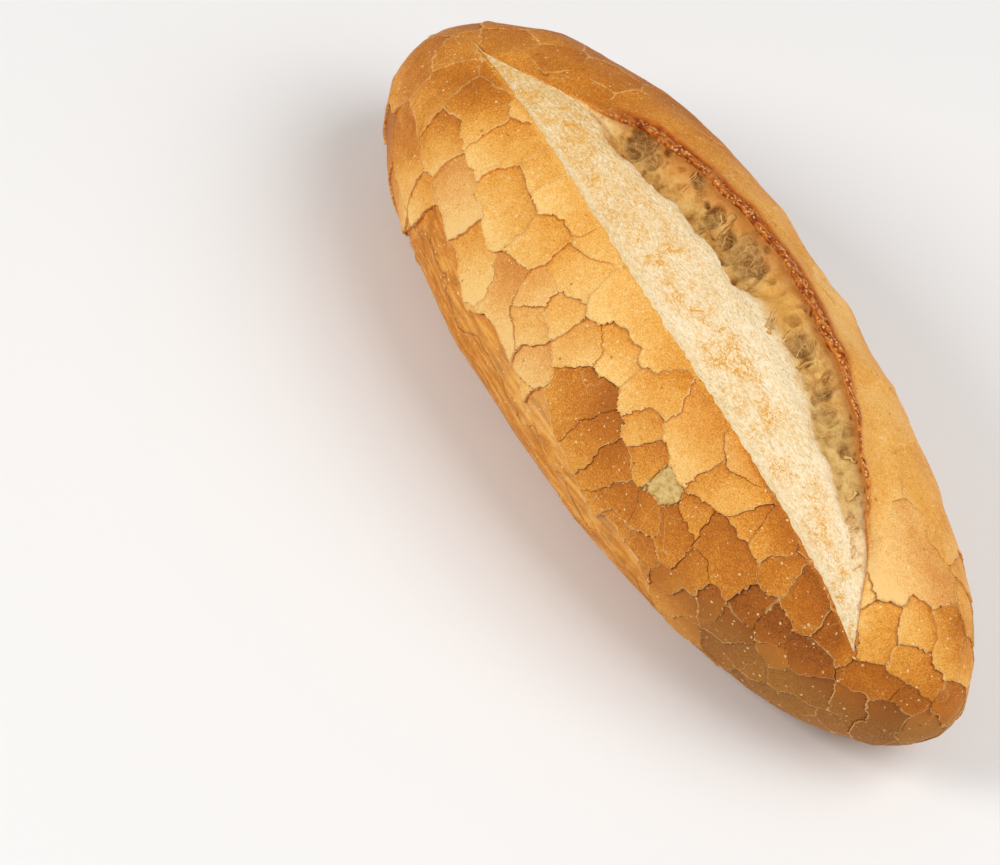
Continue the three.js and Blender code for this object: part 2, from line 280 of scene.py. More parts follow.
@dataclass(frozen=True)
class Cut:
    """The long oblique cut: a bloom of crumb, and a tear under a lifted lip."""

    body: LoafBody
    end: float = 88.0
    seam: tuple[float, float, float] = (-10.0, -6.5, -6.0)
    width: float = 33.5
    widest: float = 0.05
    tapers: tuple[float, float] = (2.0, 1.0)
    closed_width: float = 0.8
    bloom_share: float = 0.58
    crevice: float = 7.0
    crevice_place: float = 0.24
    lip_thickness: float = 1.6
    ear_rise: float = 2.2
    ear_width: float = 9.0

    def open_width(self, x: Array) -> Array:
        """Width from the seam to the lip: width (1 - share^2)^taper."""
        s = x / self.end - self.widest
        far = s < 0
        share = np.minimum(np.abs(s) / np.where(far, 1 + self.widest, 1 - self.widest), 1.0)
        return self.width * (1.0 - share**2) ** np.where(far, *self.tapers)

    def ear(self, from_lip: Array | float) -> Array | float:
        """How far the torn crust is lifted, by its distance from the lip."""
        return self.ear_rise * np.exp(-from_lip / self.ear_width)

    def bloom_part(self, x: Array) -> Array:
        """Share of the open width that the bloom fills."""
        ends = 0.4 * ease(34, 62, -x) + 0.2 * ease(55, 90, x)
        return np.minimum(0.97, self.bloom_share + ends)

    def lines(self, x: Array) -> CutLines:
        """The cut's edges at x, kept apart beyond its ends, where it is shut."""
        inside = np.clip(x, -self.end, self.end)
        start, here = self.body.section(inside), self.body.section(x)
        scale = here.half / start.half
        s = inside / self.end
        middle, skew, bow = self.seam
        seam = middle + skew * s + bow * (1 - s * s)
        opening = self.open_width(inside)
        width = np.maximum(self.closed_width, opening)
        gap = np.maximum(self.closed_width / 2, width * (1 - self.bloom_part(inside)))
        wave = 0.7 * np.sin(0.31 * x) * np.sin(0.13 * x + 1) * ease(0, 12, opening)

        def on_section(y: Array) -> Array:
            return here.centre + (y - start.centre) * scale

        torn = ease(1, 8, self.open_width(x) * (1 - self.bloom_part(x)))
        along = on_line(x, 7.0)
        nick = 0.2 * noise(along, 5.0, 21) + 0.22 * noise(along, 1.2, 22)
        return CutLines(
            seam=on_section(seam + nick * ease(2, 8, opening)),
            bloom=on_section(seam + width - gap - wave),
            lip=on_section(seam + width + wave),
            dug=ease(0, 2.5, self.open_width(x)),
            torn=torn,
        )


# --------------------------------------------------------------------- view


def grid_normals(points: Array) -> Array:
    """Outward normals of a grid of stations by closed rows, from its own steps."""
    along = np.gradient(points, axis=0)
    round_ = np.roll(points, -1, axis=1) - np.roll(points, 1, axis=1)
    normal = unit(np.cross(along, round_))
    outward = points - points.mean(axis=1, keepdims=True)
    if float((normal * outward).sum(-1).mean()) < 0:
        normal = -normal
    return normal


@dataclass(frozen=True)
class View:
    """The photograph's camera: above the loaf's near end and crackled side.

    It is turned about the loaf's width, tilted about its length and rolled, as
    the loaf lies aslant in the picture. Pixels are those of the picture.
    """

    turn: float = 27.0
    tilt: float = 30.0
    roll: float = 53.43
    distance: float = 900.0
    target: tuple[float, float, float] = (-9.44, -37.69, 11.79)
    field_width: float = 222.4
    picture: tuple[int, int] = (1000, 865)

    def axes(self) -> tuple[Array, Array, Array]:
        """Camera's right, up and backward directions."""
        turn, tilt, roll = np.radians([self.turn, self.tilt, self.roll])
        back = np.array([np.sin(turn), -np.cos(turn) * np.sin(tilt), np.cos(turn) * np.cos(tilt)])
        along = unit(np.array([1.0, 0, 0]) - back * back[0])
        square = np.cross(back, along)
        right = np.cos(roll) * along + np.sin(roll) * square
        return right, np.cross(back, right), back

    def place(self) -> Array:
        """Where the camera stands."""
        return np.array(self.target) + self.axes()[2] * self.distance

    def pixels(self, points: Array) -> Array:
        """Pixels at which points show."""
        right, up, back = self.axes()
        arm = points - self.place()
        scale = self.picture[0] * self.distance / self.field_width / -(arm @ back)
        width, height = self.picture
        return np.stack([width / 2 + scale * (arm @ right), height / 2 - scale * (arm @ up)], -1)

    def mm_per_pixel(self) -> float:
        """Millimetres that a pixel covers at the target's distance."""
        return self.field_width / self.picture[0]

    def onto(self, body: LoafBody, pixels: Array) -> Array:
        """Points of the body's seen side that show at those pixels."""
        x = np.linspace(-body.length / 2 + 0.2, body.length / 2 - 0.2, 500)
        angle = np.linspace(0, 2 * np.pi, 400, endpoint=False)
        surface = body.point(x[:, None], angle[None])
        normal = grid_normals(surface)
        seen = ((self.place() - surface) * normal).sum(-1) > 0
        points = surface[seen]
        shown = self.pixels(points)
        gaps = np.linalg.norm(pixels[:, None] - shown[None], axis=-1)
        return points[gaps.argmin(axis=1)]


# ------------------------------------------------------------------- meshes


def put(name: str, data: bpy.types.ID) -> bpy.types.Object:
    """Link a new object to the scene."""
    placed = bpy.data.objects.new(name, data)
    bpy.context.scene.collection.objects.link(placed)
    return placed


@dataclass
class MeshData:
    """Points in millimetres, triangles, named values of the points, flat faces."""

    points: Array
    faces: Array
    values: dict[str, Array] = field(default_factory=dict)
    flat: Array | None = None

    def to_object(self, name: str, shift: float) -> bpy.types.Object:
        """Put the mesh into Blender in metres, its middle line moved to y = 0.

        Args:
            name: The piece's name.
            shift: y of the loaf's middle, which is taken off.

        Returns:
            The new object, linked to the scene.
        """
        mesh = bpy.data.meshes.new(name)
        count = len(self.faces)
        mesh.vertices.add(len(self.points))
        placed = (self.points - np.array([0.0, shift, 0.0])) * MM
        mesh.vertices.foreach_set("co", placed.astype(np.float32).ravel())
        mesh.loops.add(count * 3)
        mesh.loops.foreach_set("vertex_index", self.faces.astype(np.int32).ravel())
        mesh.polygons.add(count)
        mesh.polygons.foreach_set("loop_start", np.arange(0, count * 3, 3, dtype=np.int32))
        mesh.update(calc_edges=True)
        smooth = np.ones(count, bool) if self.flat is None else ~self.flat
        mesh.polygons.foreach_set("use_smooth", smooth)
        for key, value in self.values.items():
            layer = mesh.attributes.new(key, "FLOAT", "POINT")
            layer.data.foreach_set("value", value.astype(np.float32).ravel())
        mesh.validate()
        return put(name, mesh)


def grid_corners(stations: int, rows: int) -> tuple[Array, Array, Array, Array]:
    """Numbers of the four corners of each cell of a grid closed round its rows."""
    index = np.arange(stations * rows).reshape(stations, rows)
    after = np.roll(index, -1, axis=1)
    return index[:-1], index[1:], after[1:], after[:-1]


def with_poles(value: Array, ends: Array | float) -> Array:
    """Grid's values in one row, followed by those of its two poles."""
    return np.append(value.reshape(-1).astype(float), np.broadcast_to(ends, 2))


def grid_faces(stations: int, rows: int, diagonal: Array | None = None) -> Array:
    """Triangles of a grid closed round its rows, with a fan to a pole at each end.

    Args:
        stations: Number of stations; the poles' numbers follow the grid's.
        rows: Points of a station.
        diagonal: True where a cell is split from its first to its third corner.

    Returns:
        Triangles that face outwards, shape (count, 3).
    """
    a, b, c, d = grid_corners(stations, rows)
    if diagonal is None:
        diagonal = np.ones(a.shape, bool)
    first = np.where(diagonal[..., None], np.stack([a, b, c], -1), np.stack([a, b, d], -1))
    second = np.where(diagonal[..., None], np.stack([a, c, d], -1), np.stack([b, c, d], -1))
    far, near = stations * rows, stations * rows + 1
    far_fan = np.stack([np.full(rows, far), a[0], d[0]], -1)
    near_fan = np.stack([np.full(rows, near), c[-1], b[-1]], -1)
    return np.concatenate([first.reshape(-1, 3), second.reshape(-1, 3), far_fan, near_fan])


# ------------------------------------------------------------------ crackle


class Plate(NamedTuple):
    """A plate of crust seen in the picture.

    Attributes:
        tone: Its colour, from -1 for pale and pinkish to 1 for dark brown; -2
            marks a bare spot where a flake of crust is missing.
        open: How far the cracks round it stand open, from 0 to 1.
        places: Pixels inside it.
    """

    tone: float
    open: float
    places: tuple[tuple[int, int], ...]


FAR_PLATES = (
    Plate(0.3, 0.25, ((412, 80), (418, 60))),
    Plate(0.0, 0.15, ((455, 52),)),
    Plate(0.2, 0.15, ((505, 42),)),
    Plate(0.3, 0.15, ((560, 58),)),
    Plate(0.2, 0.2, ((610, 75),)),
    Plate(0.4, 0.5, ((475, 103), (482, 122))),
    Plate(0.2, 0.35, ((425, 102), (448, 78))),
    Plate(0.1, 0.5, ((444, 140),)),
    Plate(0.1, 0.3, ((404, 128), (406, 165))),
    Plate(-0.7, 0.65, ((450, 185), (456, 215))),
    Plate(0.2, 0.4, ((493, 147), (525, 138))),
    Plate(0.3, 0.35, ((546, 172),)),
    Plate(0.0, 0.6, ((508, 192), (512, 218))),
    Plate(-0.1, 0.35, ((562, 195), (590, 216))),
    Plate(0.0, 0.4, ((545, 240), (528, 252))),
    Plate(-0.3, 0.35, ((462, 252), (478, 282))),
    Plate(-0.1, 0.25, ((600, 238),)),
    Plate(0.0, 0.35, ((568, 268), (585, 282))),
    Plate(-0.3, 0.2, ((612, 300), (640, 330), (665, 352))),
)

MIDDLE_PLATES = (
    Plate(-0.7, 0.9, ((512, 277), (492, 306), (501, 334))),
    Plate(-0.6, 0.6, ((534, 287),)),
    Plate(-0.3, 0.8, ((563, 312),)),
    Plate(-0.5, 0.6, ((529, 326),)),
    Plate(-0.4, 0.8, ((580, 345),)),
    Plate(-0.8, 0.9, ((532, 366),)),
    Plate(1.1, 1.0, ((577, 388), (558, 412), (600, 398))),
    Plate(0.8, 0.7, ((582, 450), (605, 430))),
    Plate(0.8, 0.7, ((614, 464), (594, 476))),
    Plate(0.6, 0.6, ((649, 462),)),
    Plate(0.0, 0.65, ((637, 393), (668, 393))),
    Plate(0.1, 0.55, ((643, 427),)),
    Plate(-0.2, 0.75, ((622, 345), (617, 370))),
    Plate(-0.4, 0.5, ((702, 405), (688, 438), (690, 470))),
    Plate(0.8, 0.7, ((602, 500), (623, 498))),
    Plate(-2.0, 0.7, ((666, 485),)),
    Plate(0.8, 0.7, ((644, 513),)),
    Plate(0.5, 0.5, ((612, 524),)),
    Plate(0.7, 0.7, ((676, 524), (672, 545))),
    Plate(0.4, 0.9, ((692, 515),)),
    Plate(0.7, 0.5, ((641, 549),)),
    Plate(0.3, 0.6, ((688, 573), (668, 578))),
)

NEAR_PLATES = (
    Plate(0.4, 1.0, ((718, 537), (735, 560), (732, 580))),
    Plate(-0.2, 0.6, ((706, 488), (737, 500))),
    Plate(0.0, 0.6, ((742, 524),)),
    Plate(0.1, 0.6, ((772, 545),)),
    Plate(0.2, 0.6, ((781, 574),)),
    Plate(0.7, 0.4, ((806, 592), (800, 612))),
    Plate(0.7, 0.7, ((708, 603),)),
    Plate(0.9, 0.7, ((747, 604),)),
    Plate(0.8, 0.4, ((730, 622),)),
    Plate(0.9, 0.45, ((775, 628),)),
    Plate(0.9, 0.7, ((806, 658),)),
    Plate(0.6, 0.35, ((838, 636),)),
    Plate(0.6, 0.7, ((748, 660), (716, 652))),
    Plate(0.6, 0.5, ((812, 690), (786, 680))),
    Plate(0.6, 0.8, ((868, 673), (890, 684))),
    Plate(0.0, 0.6, ((879, 624), (876, 647))),
    Plate(0.2, 0.7, ((906, 662), (922, 682))),
    Plate(-0.8, 0.35, ((888, 578), (920, 560), (905, 535), (938, 592))),
    Plate(0.0, 0.5, ((916, 628),)),
    Plate(0.1, 0.35, ((950, 622), (948, 662))),
    Plate(0.5, 0.6, ((948, 706),)),
    Plate(0.6, 0.6, ((908, 696),)),
    Plate(0.6, 0.4, ((846, 706),)),
    Plate(0.7, 0.4, ((890, 716), (868, 734))),
)

SEEN_PLATES = FAR_PLATES + MIDDLE_PLATES + NEAR_PLATES


class Mosaic(NamedTuple):
    """Middles of the crust's cells, and the plate, tone and openness of each."""

    middles: Array
    plate: Array
    tone: Array
    open: Array


class Borders(NamedTuple):
    """For each point: its plate, distance and way to the border, openness, tone."""

    label: Array
    distance: Array
    across: Array
    open: Array
    tone: Array


@dataclass(frozen=True)
class Crackle:
    """Plates that the crust broke into while it cooled, with open cracks.

    Plates are the cells of middles, set where the picture shows plates and
    scattered elsewhere. Their borders are made ragged by adding noise to a
    point before its nearest middle is looked for. Low on the crackled side the
    crust is torn off along lines that run lengthwise, and each line bounds a
    layer of the bare side.
    """

    body: LoafBody
    view: View
    seed: int = 11
    tries: int = 5000
    small: float = 6.5
    large: float = 11.0
    ragged: tuple[tuple[float, float], ...] = ((6.0, 0.8), (2.6, 0.42), (1.0, 0.16))
    merge_share: float = 0.4
    side_span: tuple[float, float] = (-76.0, 64.0)
    side_taper: float = 24.0
    layer_step: float = 7.5
    tongue_length: float = 27.0
    tongue_reach: float = 4.5
    layers: int = 3
    batch: int = 15000

    def scattered(self, kept: Array) -> tuple[Array, Array]:
        """Scatter further middles on the body, away from the given ones.

        Args:
            kept: Middles of the plates seen in the picture.

        Returns:
            New middles, and the openness of their borders.
        """
        draw = np.random.default_rng(self.seed)
        half = self.body.length / 2 - 0.3
        x = draw.uniform(-half, half, self.tries)
        found = self.body.point(x, draw.uniform(0, 2 * np.pi, self.tries))
        found[:, 2] = np.maximum(found[:, 2], 0.0)
        size = mix(self.large, self.small, ease(-35, 55, x) * ease(52, 34, found[:, 2]))
        gaps = size * draw.uniform(0.75, 1.15, self.tries)
        given = len(kept)
        for place, gap in zip(found, gaps):
            if np.min(np.sum((kept - place) ** 2, axis=1)) > gap * gap:
                kept = np.vstack([kept, place])
        new = kept[given:]
        ends = np.maximum(ease(60, 90, new[:, 0]), 0.6 * ease(70, 96, -new[:, 0]))
        left = ease(0, -12, new[:, 1]) * (0.45 + 0.2 * ease(-60, 20, new[:, 0]))
        return new, np.maximum(np.maximum(left, 0.65 * ends), 0.18)

    def mosaic(self) -> Mosaic:
        """Gather the middles of all plates; some scattered ones are merged."""
        pixels = np.array([place for plate in SEEN_PLATES for place in plate.places], float)
        number = np.array([i for i, plate in enumerate(SEEN_PLATES) for _ in plate.places])
        seen = self.view.onto(self.body, pixels)
        new, new_open = self.scattered(seen)
        gaps = np.linalg.norm(new[:, None] - new[None], axis=-1)
        np.fill_diagonal(gaps, np.inf)
        order = np.arange(len(new))
        draws = lattice_draw(np.stack([order, order * 3, order * 7], -1), self.seed)
        joined = np.where(draws < self.merge_share, gaps.argmin(1), order)
        joined = np.minimum(joined[joined], joined)
        tones = lattice_draw(np.stack([joined, joined * 5, joined * 9], -1), self.seed + 1)
        calm = mix(1.0, 0.45, ease(0, 15, new[joined, 1]))
        given = np.array([(plate.tone, plate.open) for plate in SEEN_PLATES])
        return Mosaic(
            middles=np.vstack([seen, new]),
            plate=np.concatenate([number, len(SEEN_PLATES) + joined]),
            tone=np.concatenate([given[number, 0], (1.1 * tones - 0.55) * calm]),
            open=np.concatenate([given[number, 1], new_open[joined]]),
        )

    def shaken(self, points: Array) -> Array:
        """Points moved by noise, creased where it is fine, so that borders get teeth."""
        moved = points.copy()
        for octave, (size, reach) in enumerate(self.ragged):
            wave = noises(points, size, 31 + 3 * octave)
            moved += reach * (wave if octave == 0 else 0.6 - 2.2 * np.abs(wave))
        return moved

    def side_line(self, points: Array) -> Array:
        """Height of a point over the line below which the side is bare."""
        x = points[:, 0]
        line = 35.0 - 12.0 * ease(-10, 55, x) + 3.0 * ease(-30, -65, x)
        first, last = self.side_span
        line = line * ease(first, first + self.side_taper, x)
        line = line * ease(last, last - self.side_taper, x)
        wave = 1.6 * noise(points, 13.0, 51) + 1.0 * noise(points, 4.5, 52)
        wave = wave + 0.6 * noise(points, 1.8, 53)
        share = (x + 5 * noise(points, 20.0, 54)) / self.tongue_length % 1.0
        tongue = np.where(share < 0.85, (share / 0.85) ** 1.5, (1 - share) / 0.15)
        return points[:, 2] - line - wave - self.tongue_reach * (0.5 - tongue)

    def borders(self, points: Array, mosaic: Mosaic) -> Borders:
        """Find each point's plate and its nearest border.

        The border with another plate's middle is the plane halfway between the
        two, so the distance is (second^2 - first^2) / (2 gap).

        Args:
            points: Positions, shape (count, 3).
            mosaic: The plates' middles.

        Returns:
            What lies at each point; distances are in mm, ways are unit vectors.
        """
        parts = [self.cell_borders(points[start : start + self.batch], mosaic)
                 for start in range(0, len(points), self.batch)]
        label, distance, across, opened, tone = (np.concatenate(part) for part in zip(*parts))
        first_x, last_x = self.side_span
        span_gap = np.minimum(points[:, 0] - first_x, last_x - points[:, 0])
        span_gap = span_gap + 2.0 * noise(points, 6.0, 55)
        height = self.side_line(points)
        bare = (height < 0) & (span_gap > 0) & (points[:, 1] < 0)
        layer = np.minimum(np.floor(-height / self.layer_step), self.layers - 1).astype(int)
        to_line = np.abs(height)
        step_gap = np.abs((-height + self.layer_step / 2) % self.layer_step - self.layer_step / 2)
        last = -height > (self.layers - 0.5) * self.layer_step
        step_gap = np.where(last, 9.0, step_gap)
        way = np.zeros_like(across)
        way[:, 2] = np.where((-height % self.layer_step) < self.layer_step / 2, 1.0, -1.0)
        near_line = (span_gap > 0) & (points[:, 1] < 0) & ~bare & (to_line < distance)
        way[near_line, 2] = -1.0
        use_line = bare | near_line
        gap = np.where(bare, np.minimum(step_gap, span_gap), to_line)
        line_open = np.where(-height > self.layer_step / 2, 0.3, 0.5) * ease(0, 12, span_gap)
        return Borders(
            label=np.where(bare, -1 - layer, label),
            distance=np.where(use_line, gap, distance),
            across=np.where(use_line[:, None], way, across),
            open=np.where(use_line, line_open, opened),
            tone=np.where(bare, -0.25 + 0.2 * layer, tone),
        )

    def cell_borders(self, points: Array, mosaic: Mosaic) -> tuple[Array, ...]:
        """Plate, distance, way, openness and tone of points, from the cells alone."""
        asked = self.shaken(points)
        middles = mosaic.middles
        square = (asked**2).sum(1)[:, None] - 2 * asked @ middles.T + (middles**2).sum(1)
        row = np.arange(len(asked))
        first = square.argmin(1)
        nearest = square[row, first]
        mine = mosaic.plate[first]
        other = np.where(mosaic.plate[None] == mine[:, None], np.inf, square).argmin(1)
        apart = middles[other] - middles[first]
        length = np.maximum(np.linalg.norm(apart, axis=1), 1e-6)
        distance = np.maximum((square[row, other] - nearest) / (2 * length), 0.0)
        opened = (mosaic.open[first] + mosaic.open[other]) / 2
        return mine, distance, apart / length[:, None], opened, mosaic.tone[first]


class Split(NamedTuple):
    """How the skin is split.

    Attributes:
        index: Number of the unsplit point that each new point stands at.
        plate: The plate that each new point belongs to.
        is_bottom: True for points at a crack's bottom.
        copied: True for a plate's own copies of a split point.
        faces: Triangles of the plates.
        walls: Triangles of the cracks' walls.
    """

    index: Array
    plate: Array
    is_bottom: Array
    copied: Array
    faces: Array
    walls: Array


@dataclass
class CrackedSkin:
    """A triangle skin split along the borders of its plates.

    At an open border every plate keeps its own copy of a point, drawn back
    from the border and lifted by the plate's height, and all copies share one
    point at the bottom of the cracks. Walls join the copies to the bottom.
    """

    points: Array
    normals: Array
    faces: Array
    borders: Borders
    label: Array
    tone: Array
    step: Array
    openness: Array
    strength: Array
    lift: float = 0.42
    tilt: float = 0.055
    curl: float = 0.12
    curl_width: float = 0.9
    facet: float = 0.22
    facet_width: float = 3.0
    held_width: float = 2.2
    bare_drop: float = 0.55
    bare_tone: float = -1.5
    full_step: float = 0.3
    gap: float = 0.24
    depth: float = 0.8
    threshold: float = 0.08

    def plate_draw(self, plate: Array, seed: int) -> Array:
        """Draw from 0 to 1 for each plate."""
        return lattice_draw(np.stack([plate, plate * 5 + 1, plate * 3], -1), seed)

    def way(self, plate: Array) -> Array:
        """Direction in which each plate rises: mostly down the side and to +X."""
        drawn = np.stack([self.plate_draw(plate, n) - 0.5 for n in (5, 6, 7)], -1)
        return unit(drawn + np.array([0.35, -0.45, -0.55]))

    def height(self, index: Array, plate: Array, centre: Array) -> Array:
        """Height of a point on a plate.

        A plate is lifted as a whole, rises towards its lower, nearer edge as a
        shingle does, and curls up at its border. A bare place lies lower.
        """
        lift = self.lift * (self.plate_draw(plate, 3) - 0.35)
        arm = self.points[index] - centre[plate]
        lift = lift + self.tilt * np.clip((arm * self.way(plate)).sum(-1), -5, 7)
        distance = self.borders.distance[index]
        lift = lift + self.curl * np.exp(-distance / self.curl_width)
        lift = np.where(plate < 0, -self.bare_drop * (0.6 + 0.4 * (plate % 2)), lift)
        lift = np.where(self.tone[index] < self.bare_tone, -self.bare_drop, lift)
        held = 1 - (1 - self.step[index]) * np.exp(-distance / self.held_width)
        facet = self.facet * np.exp(-distance / self.facet_width)
        return (lift * held + facet) * self.strength[index]

    def split(self) -> Split:
        """Give every plate its own copy of the points on its open borders."""
        count, faces = len(self.points), self.faces
        edge = np.concatenate([faces[:, [0, 1]], faces[:, [1, 2]], faces[:, [2, 0]]])
        owner = np.tile(np.arange(len(faces)), 3)
        key = np.minimum(edge[:, 0], edge[:, 1]) * count + np.maximum(edge[:, 0], edge[:, 1])
        order = np.argsort(key, kind="stable").reshape(-1, 2)
        one, two = order[self.label[owner[order[:, 0]]] != self.label[owner[order[:, 1]]]].T
        on_border = np.zeros(count, bool)
        on_border[edge[one].ravel()] = True
        split = on_border & (self.step * self.strength > self.threshold)

        low = int(self.label.min())
        plates = int(self.label.max()) - low + 2
        corner_plate = np.where(split[faces], self.label[:, None] - low + 1, 0)
        bottoms = np.flatnonzero(split)
        keys = (faces * plates + corner_plate).ravel()
        keys = np.concatenate([keys, bottoms + count * plates])
        unique, inverse = np.unique(keys, return_inverse=True)
        inverse = inverse.ravel()
        is_bottom = unique >= count * plates
        index = np.where(is_bottom, unique - count * plates, unique // plates)
        plate = np.where(is_bottom, 0, unique % plates)
        new_faces = inverse[: faces.size].reshape(-1, 3)
        bottom_of = np.zeros(count, int)
        bottom_of[bottoms] = inverse[faces.size :]

        # A point that isn't split belongs to the plate of one of its faces.
        any_plate = np.zeros(count, int)
        any_plate[faces.ravel()] = np.repeat(self.label, 3)
        plate = np.where(plate == 0, any_plate[index], plate - 1 + low)

        def copies(half_edge: Array) -> tuple[Array, Array]:
            corner = half_edge // len(faces)
            face = owner[half_edge]
            return new_faces[face, corner], new_faces[face, (corner + 1) % 3]

        (u_one, v_one), (v_two, u_two) = copies(one), copies(two)
        u, v = edge[one].T
        u_low = np.where(split[u], bottom_of[u], u_one)
        v_low = np.where(split[v], bottom_of[v], v_one)
        walls = np.concatenate([np.stack(corners, -1) for corners in (
            (v_one, u_one, u_low), (v_one, u_low, v_low),
            (u_two, v_two, v_low), (u_two, v_low, u_low))])
        walls = walls[(walls != np.roll(walls, 1, axis=1)).all(axis=1)]
        return Split(index, plate, is_bottom, split[index] & ~is_bottom, new_faces, walls)

    def centres(self) -> Array:
        """Middle of each plate; those with a negative number come last."""
        plates = int(self.label.max()) - int(self.label.min()) + 2
        centre, total = np.zeros((plates, 3)), np.zeros(plates)
        np.add.at(centre, self.label, self.points[self.faces].mean(axis=1))
        np.add.at(total, self.label, 1.0)
        return centre / np.maximum(total, 1.0)[:, None]

    def build(self, values: dict[str, Array]) -> MeshData:
        """Split the skin and wall its cracks.

        Args:
            values: Named values of the unsplit points, carried to the copies.

        Returns:
            The closed, cracked skin with its values.
        """
        index, plate, is_bottom, copied, faces, walls = self.split()
        centre = self.centres()
        height = self.height(index, plate, centre)
        strength = self.strength[index]
        openness = self.openness[index] * strength
        lowest, highest = np.full(len(self.points), 9.0), np.full(len(self.points), -9.0)
        np.minimum.at(lowest, index[copied], height[copied])
        np.maximum.at(highest, index[copied], height[copied])
        # over: how far a plate stands above its neighbour, which the finish paints as a pale torn
        # rim, partly a painted highlight.
        over = np.where(copied, (height - lowest[index]) / self.full_step, 0.0)
        # under: how far a plate lies below its neighbour, which the finish paints as shadow beside
        # the higher plate.
        under = np.where(copied, (highest[index] - height) / self.full_step, 0.0)
        normal = self.normals[index]
        arm = self.points[index] - centre[plate]
        back = unit(sideways(-arm, normal))
        opened = 0.1 + 0.9 * openness
        inset = np.where(copied, self.gap / 2 * opened, 0.0)
        height = np.where(is_bottom, lowest[index] - self.depth * opened, height)
        points = self.points[index] + back * inset[:, None] + normal * height[:, None]
        # Painted light and shade along each plate's tilt: the finish paints a plate paler towards
        # where it rises and darker at its other end.
        tilt_shade = (arm * self.way(plate)).sum(-1)

        carried = {name: value[index] for name, value in values.items()} | {
            # Share of painted shade at the bottoms of open cracks.
            "crack_shade": is_bottom * (0.2 + 0.8 * openness),
            "over": np.clip(over, 0, 1),
            "under": np.clip(under, 0, 1),
            "open": openness,
            "edge": np.minimum(self.borders.distance[index], 2.0),
            "tone": np.clip(self.tone[index], -1, 1.2) * strength,
            "bare": (self.tone[index] < self.bare_tone) * self.step[index],
            "tilt_shade": np.clip(tilt_shade / 6.0, -1, 1) * self.step[index] * strength,
        }
        flat = np.arange(len(faces) + len(walls)) >= len(faces)
        return MeshData(points, np.concatenate([faces, walls]), carried, flat)


# -------------------------------------------------------------------- crust


class CrustGrid(NamedTuple):
    """The uncracked crust: points with their poles last, and what lies there."""

    points: Array
    normals: Array
    from_seam: Array
    from_lip: Array
    right: Array
    inner: Array
    torn: Array
    dug: Array


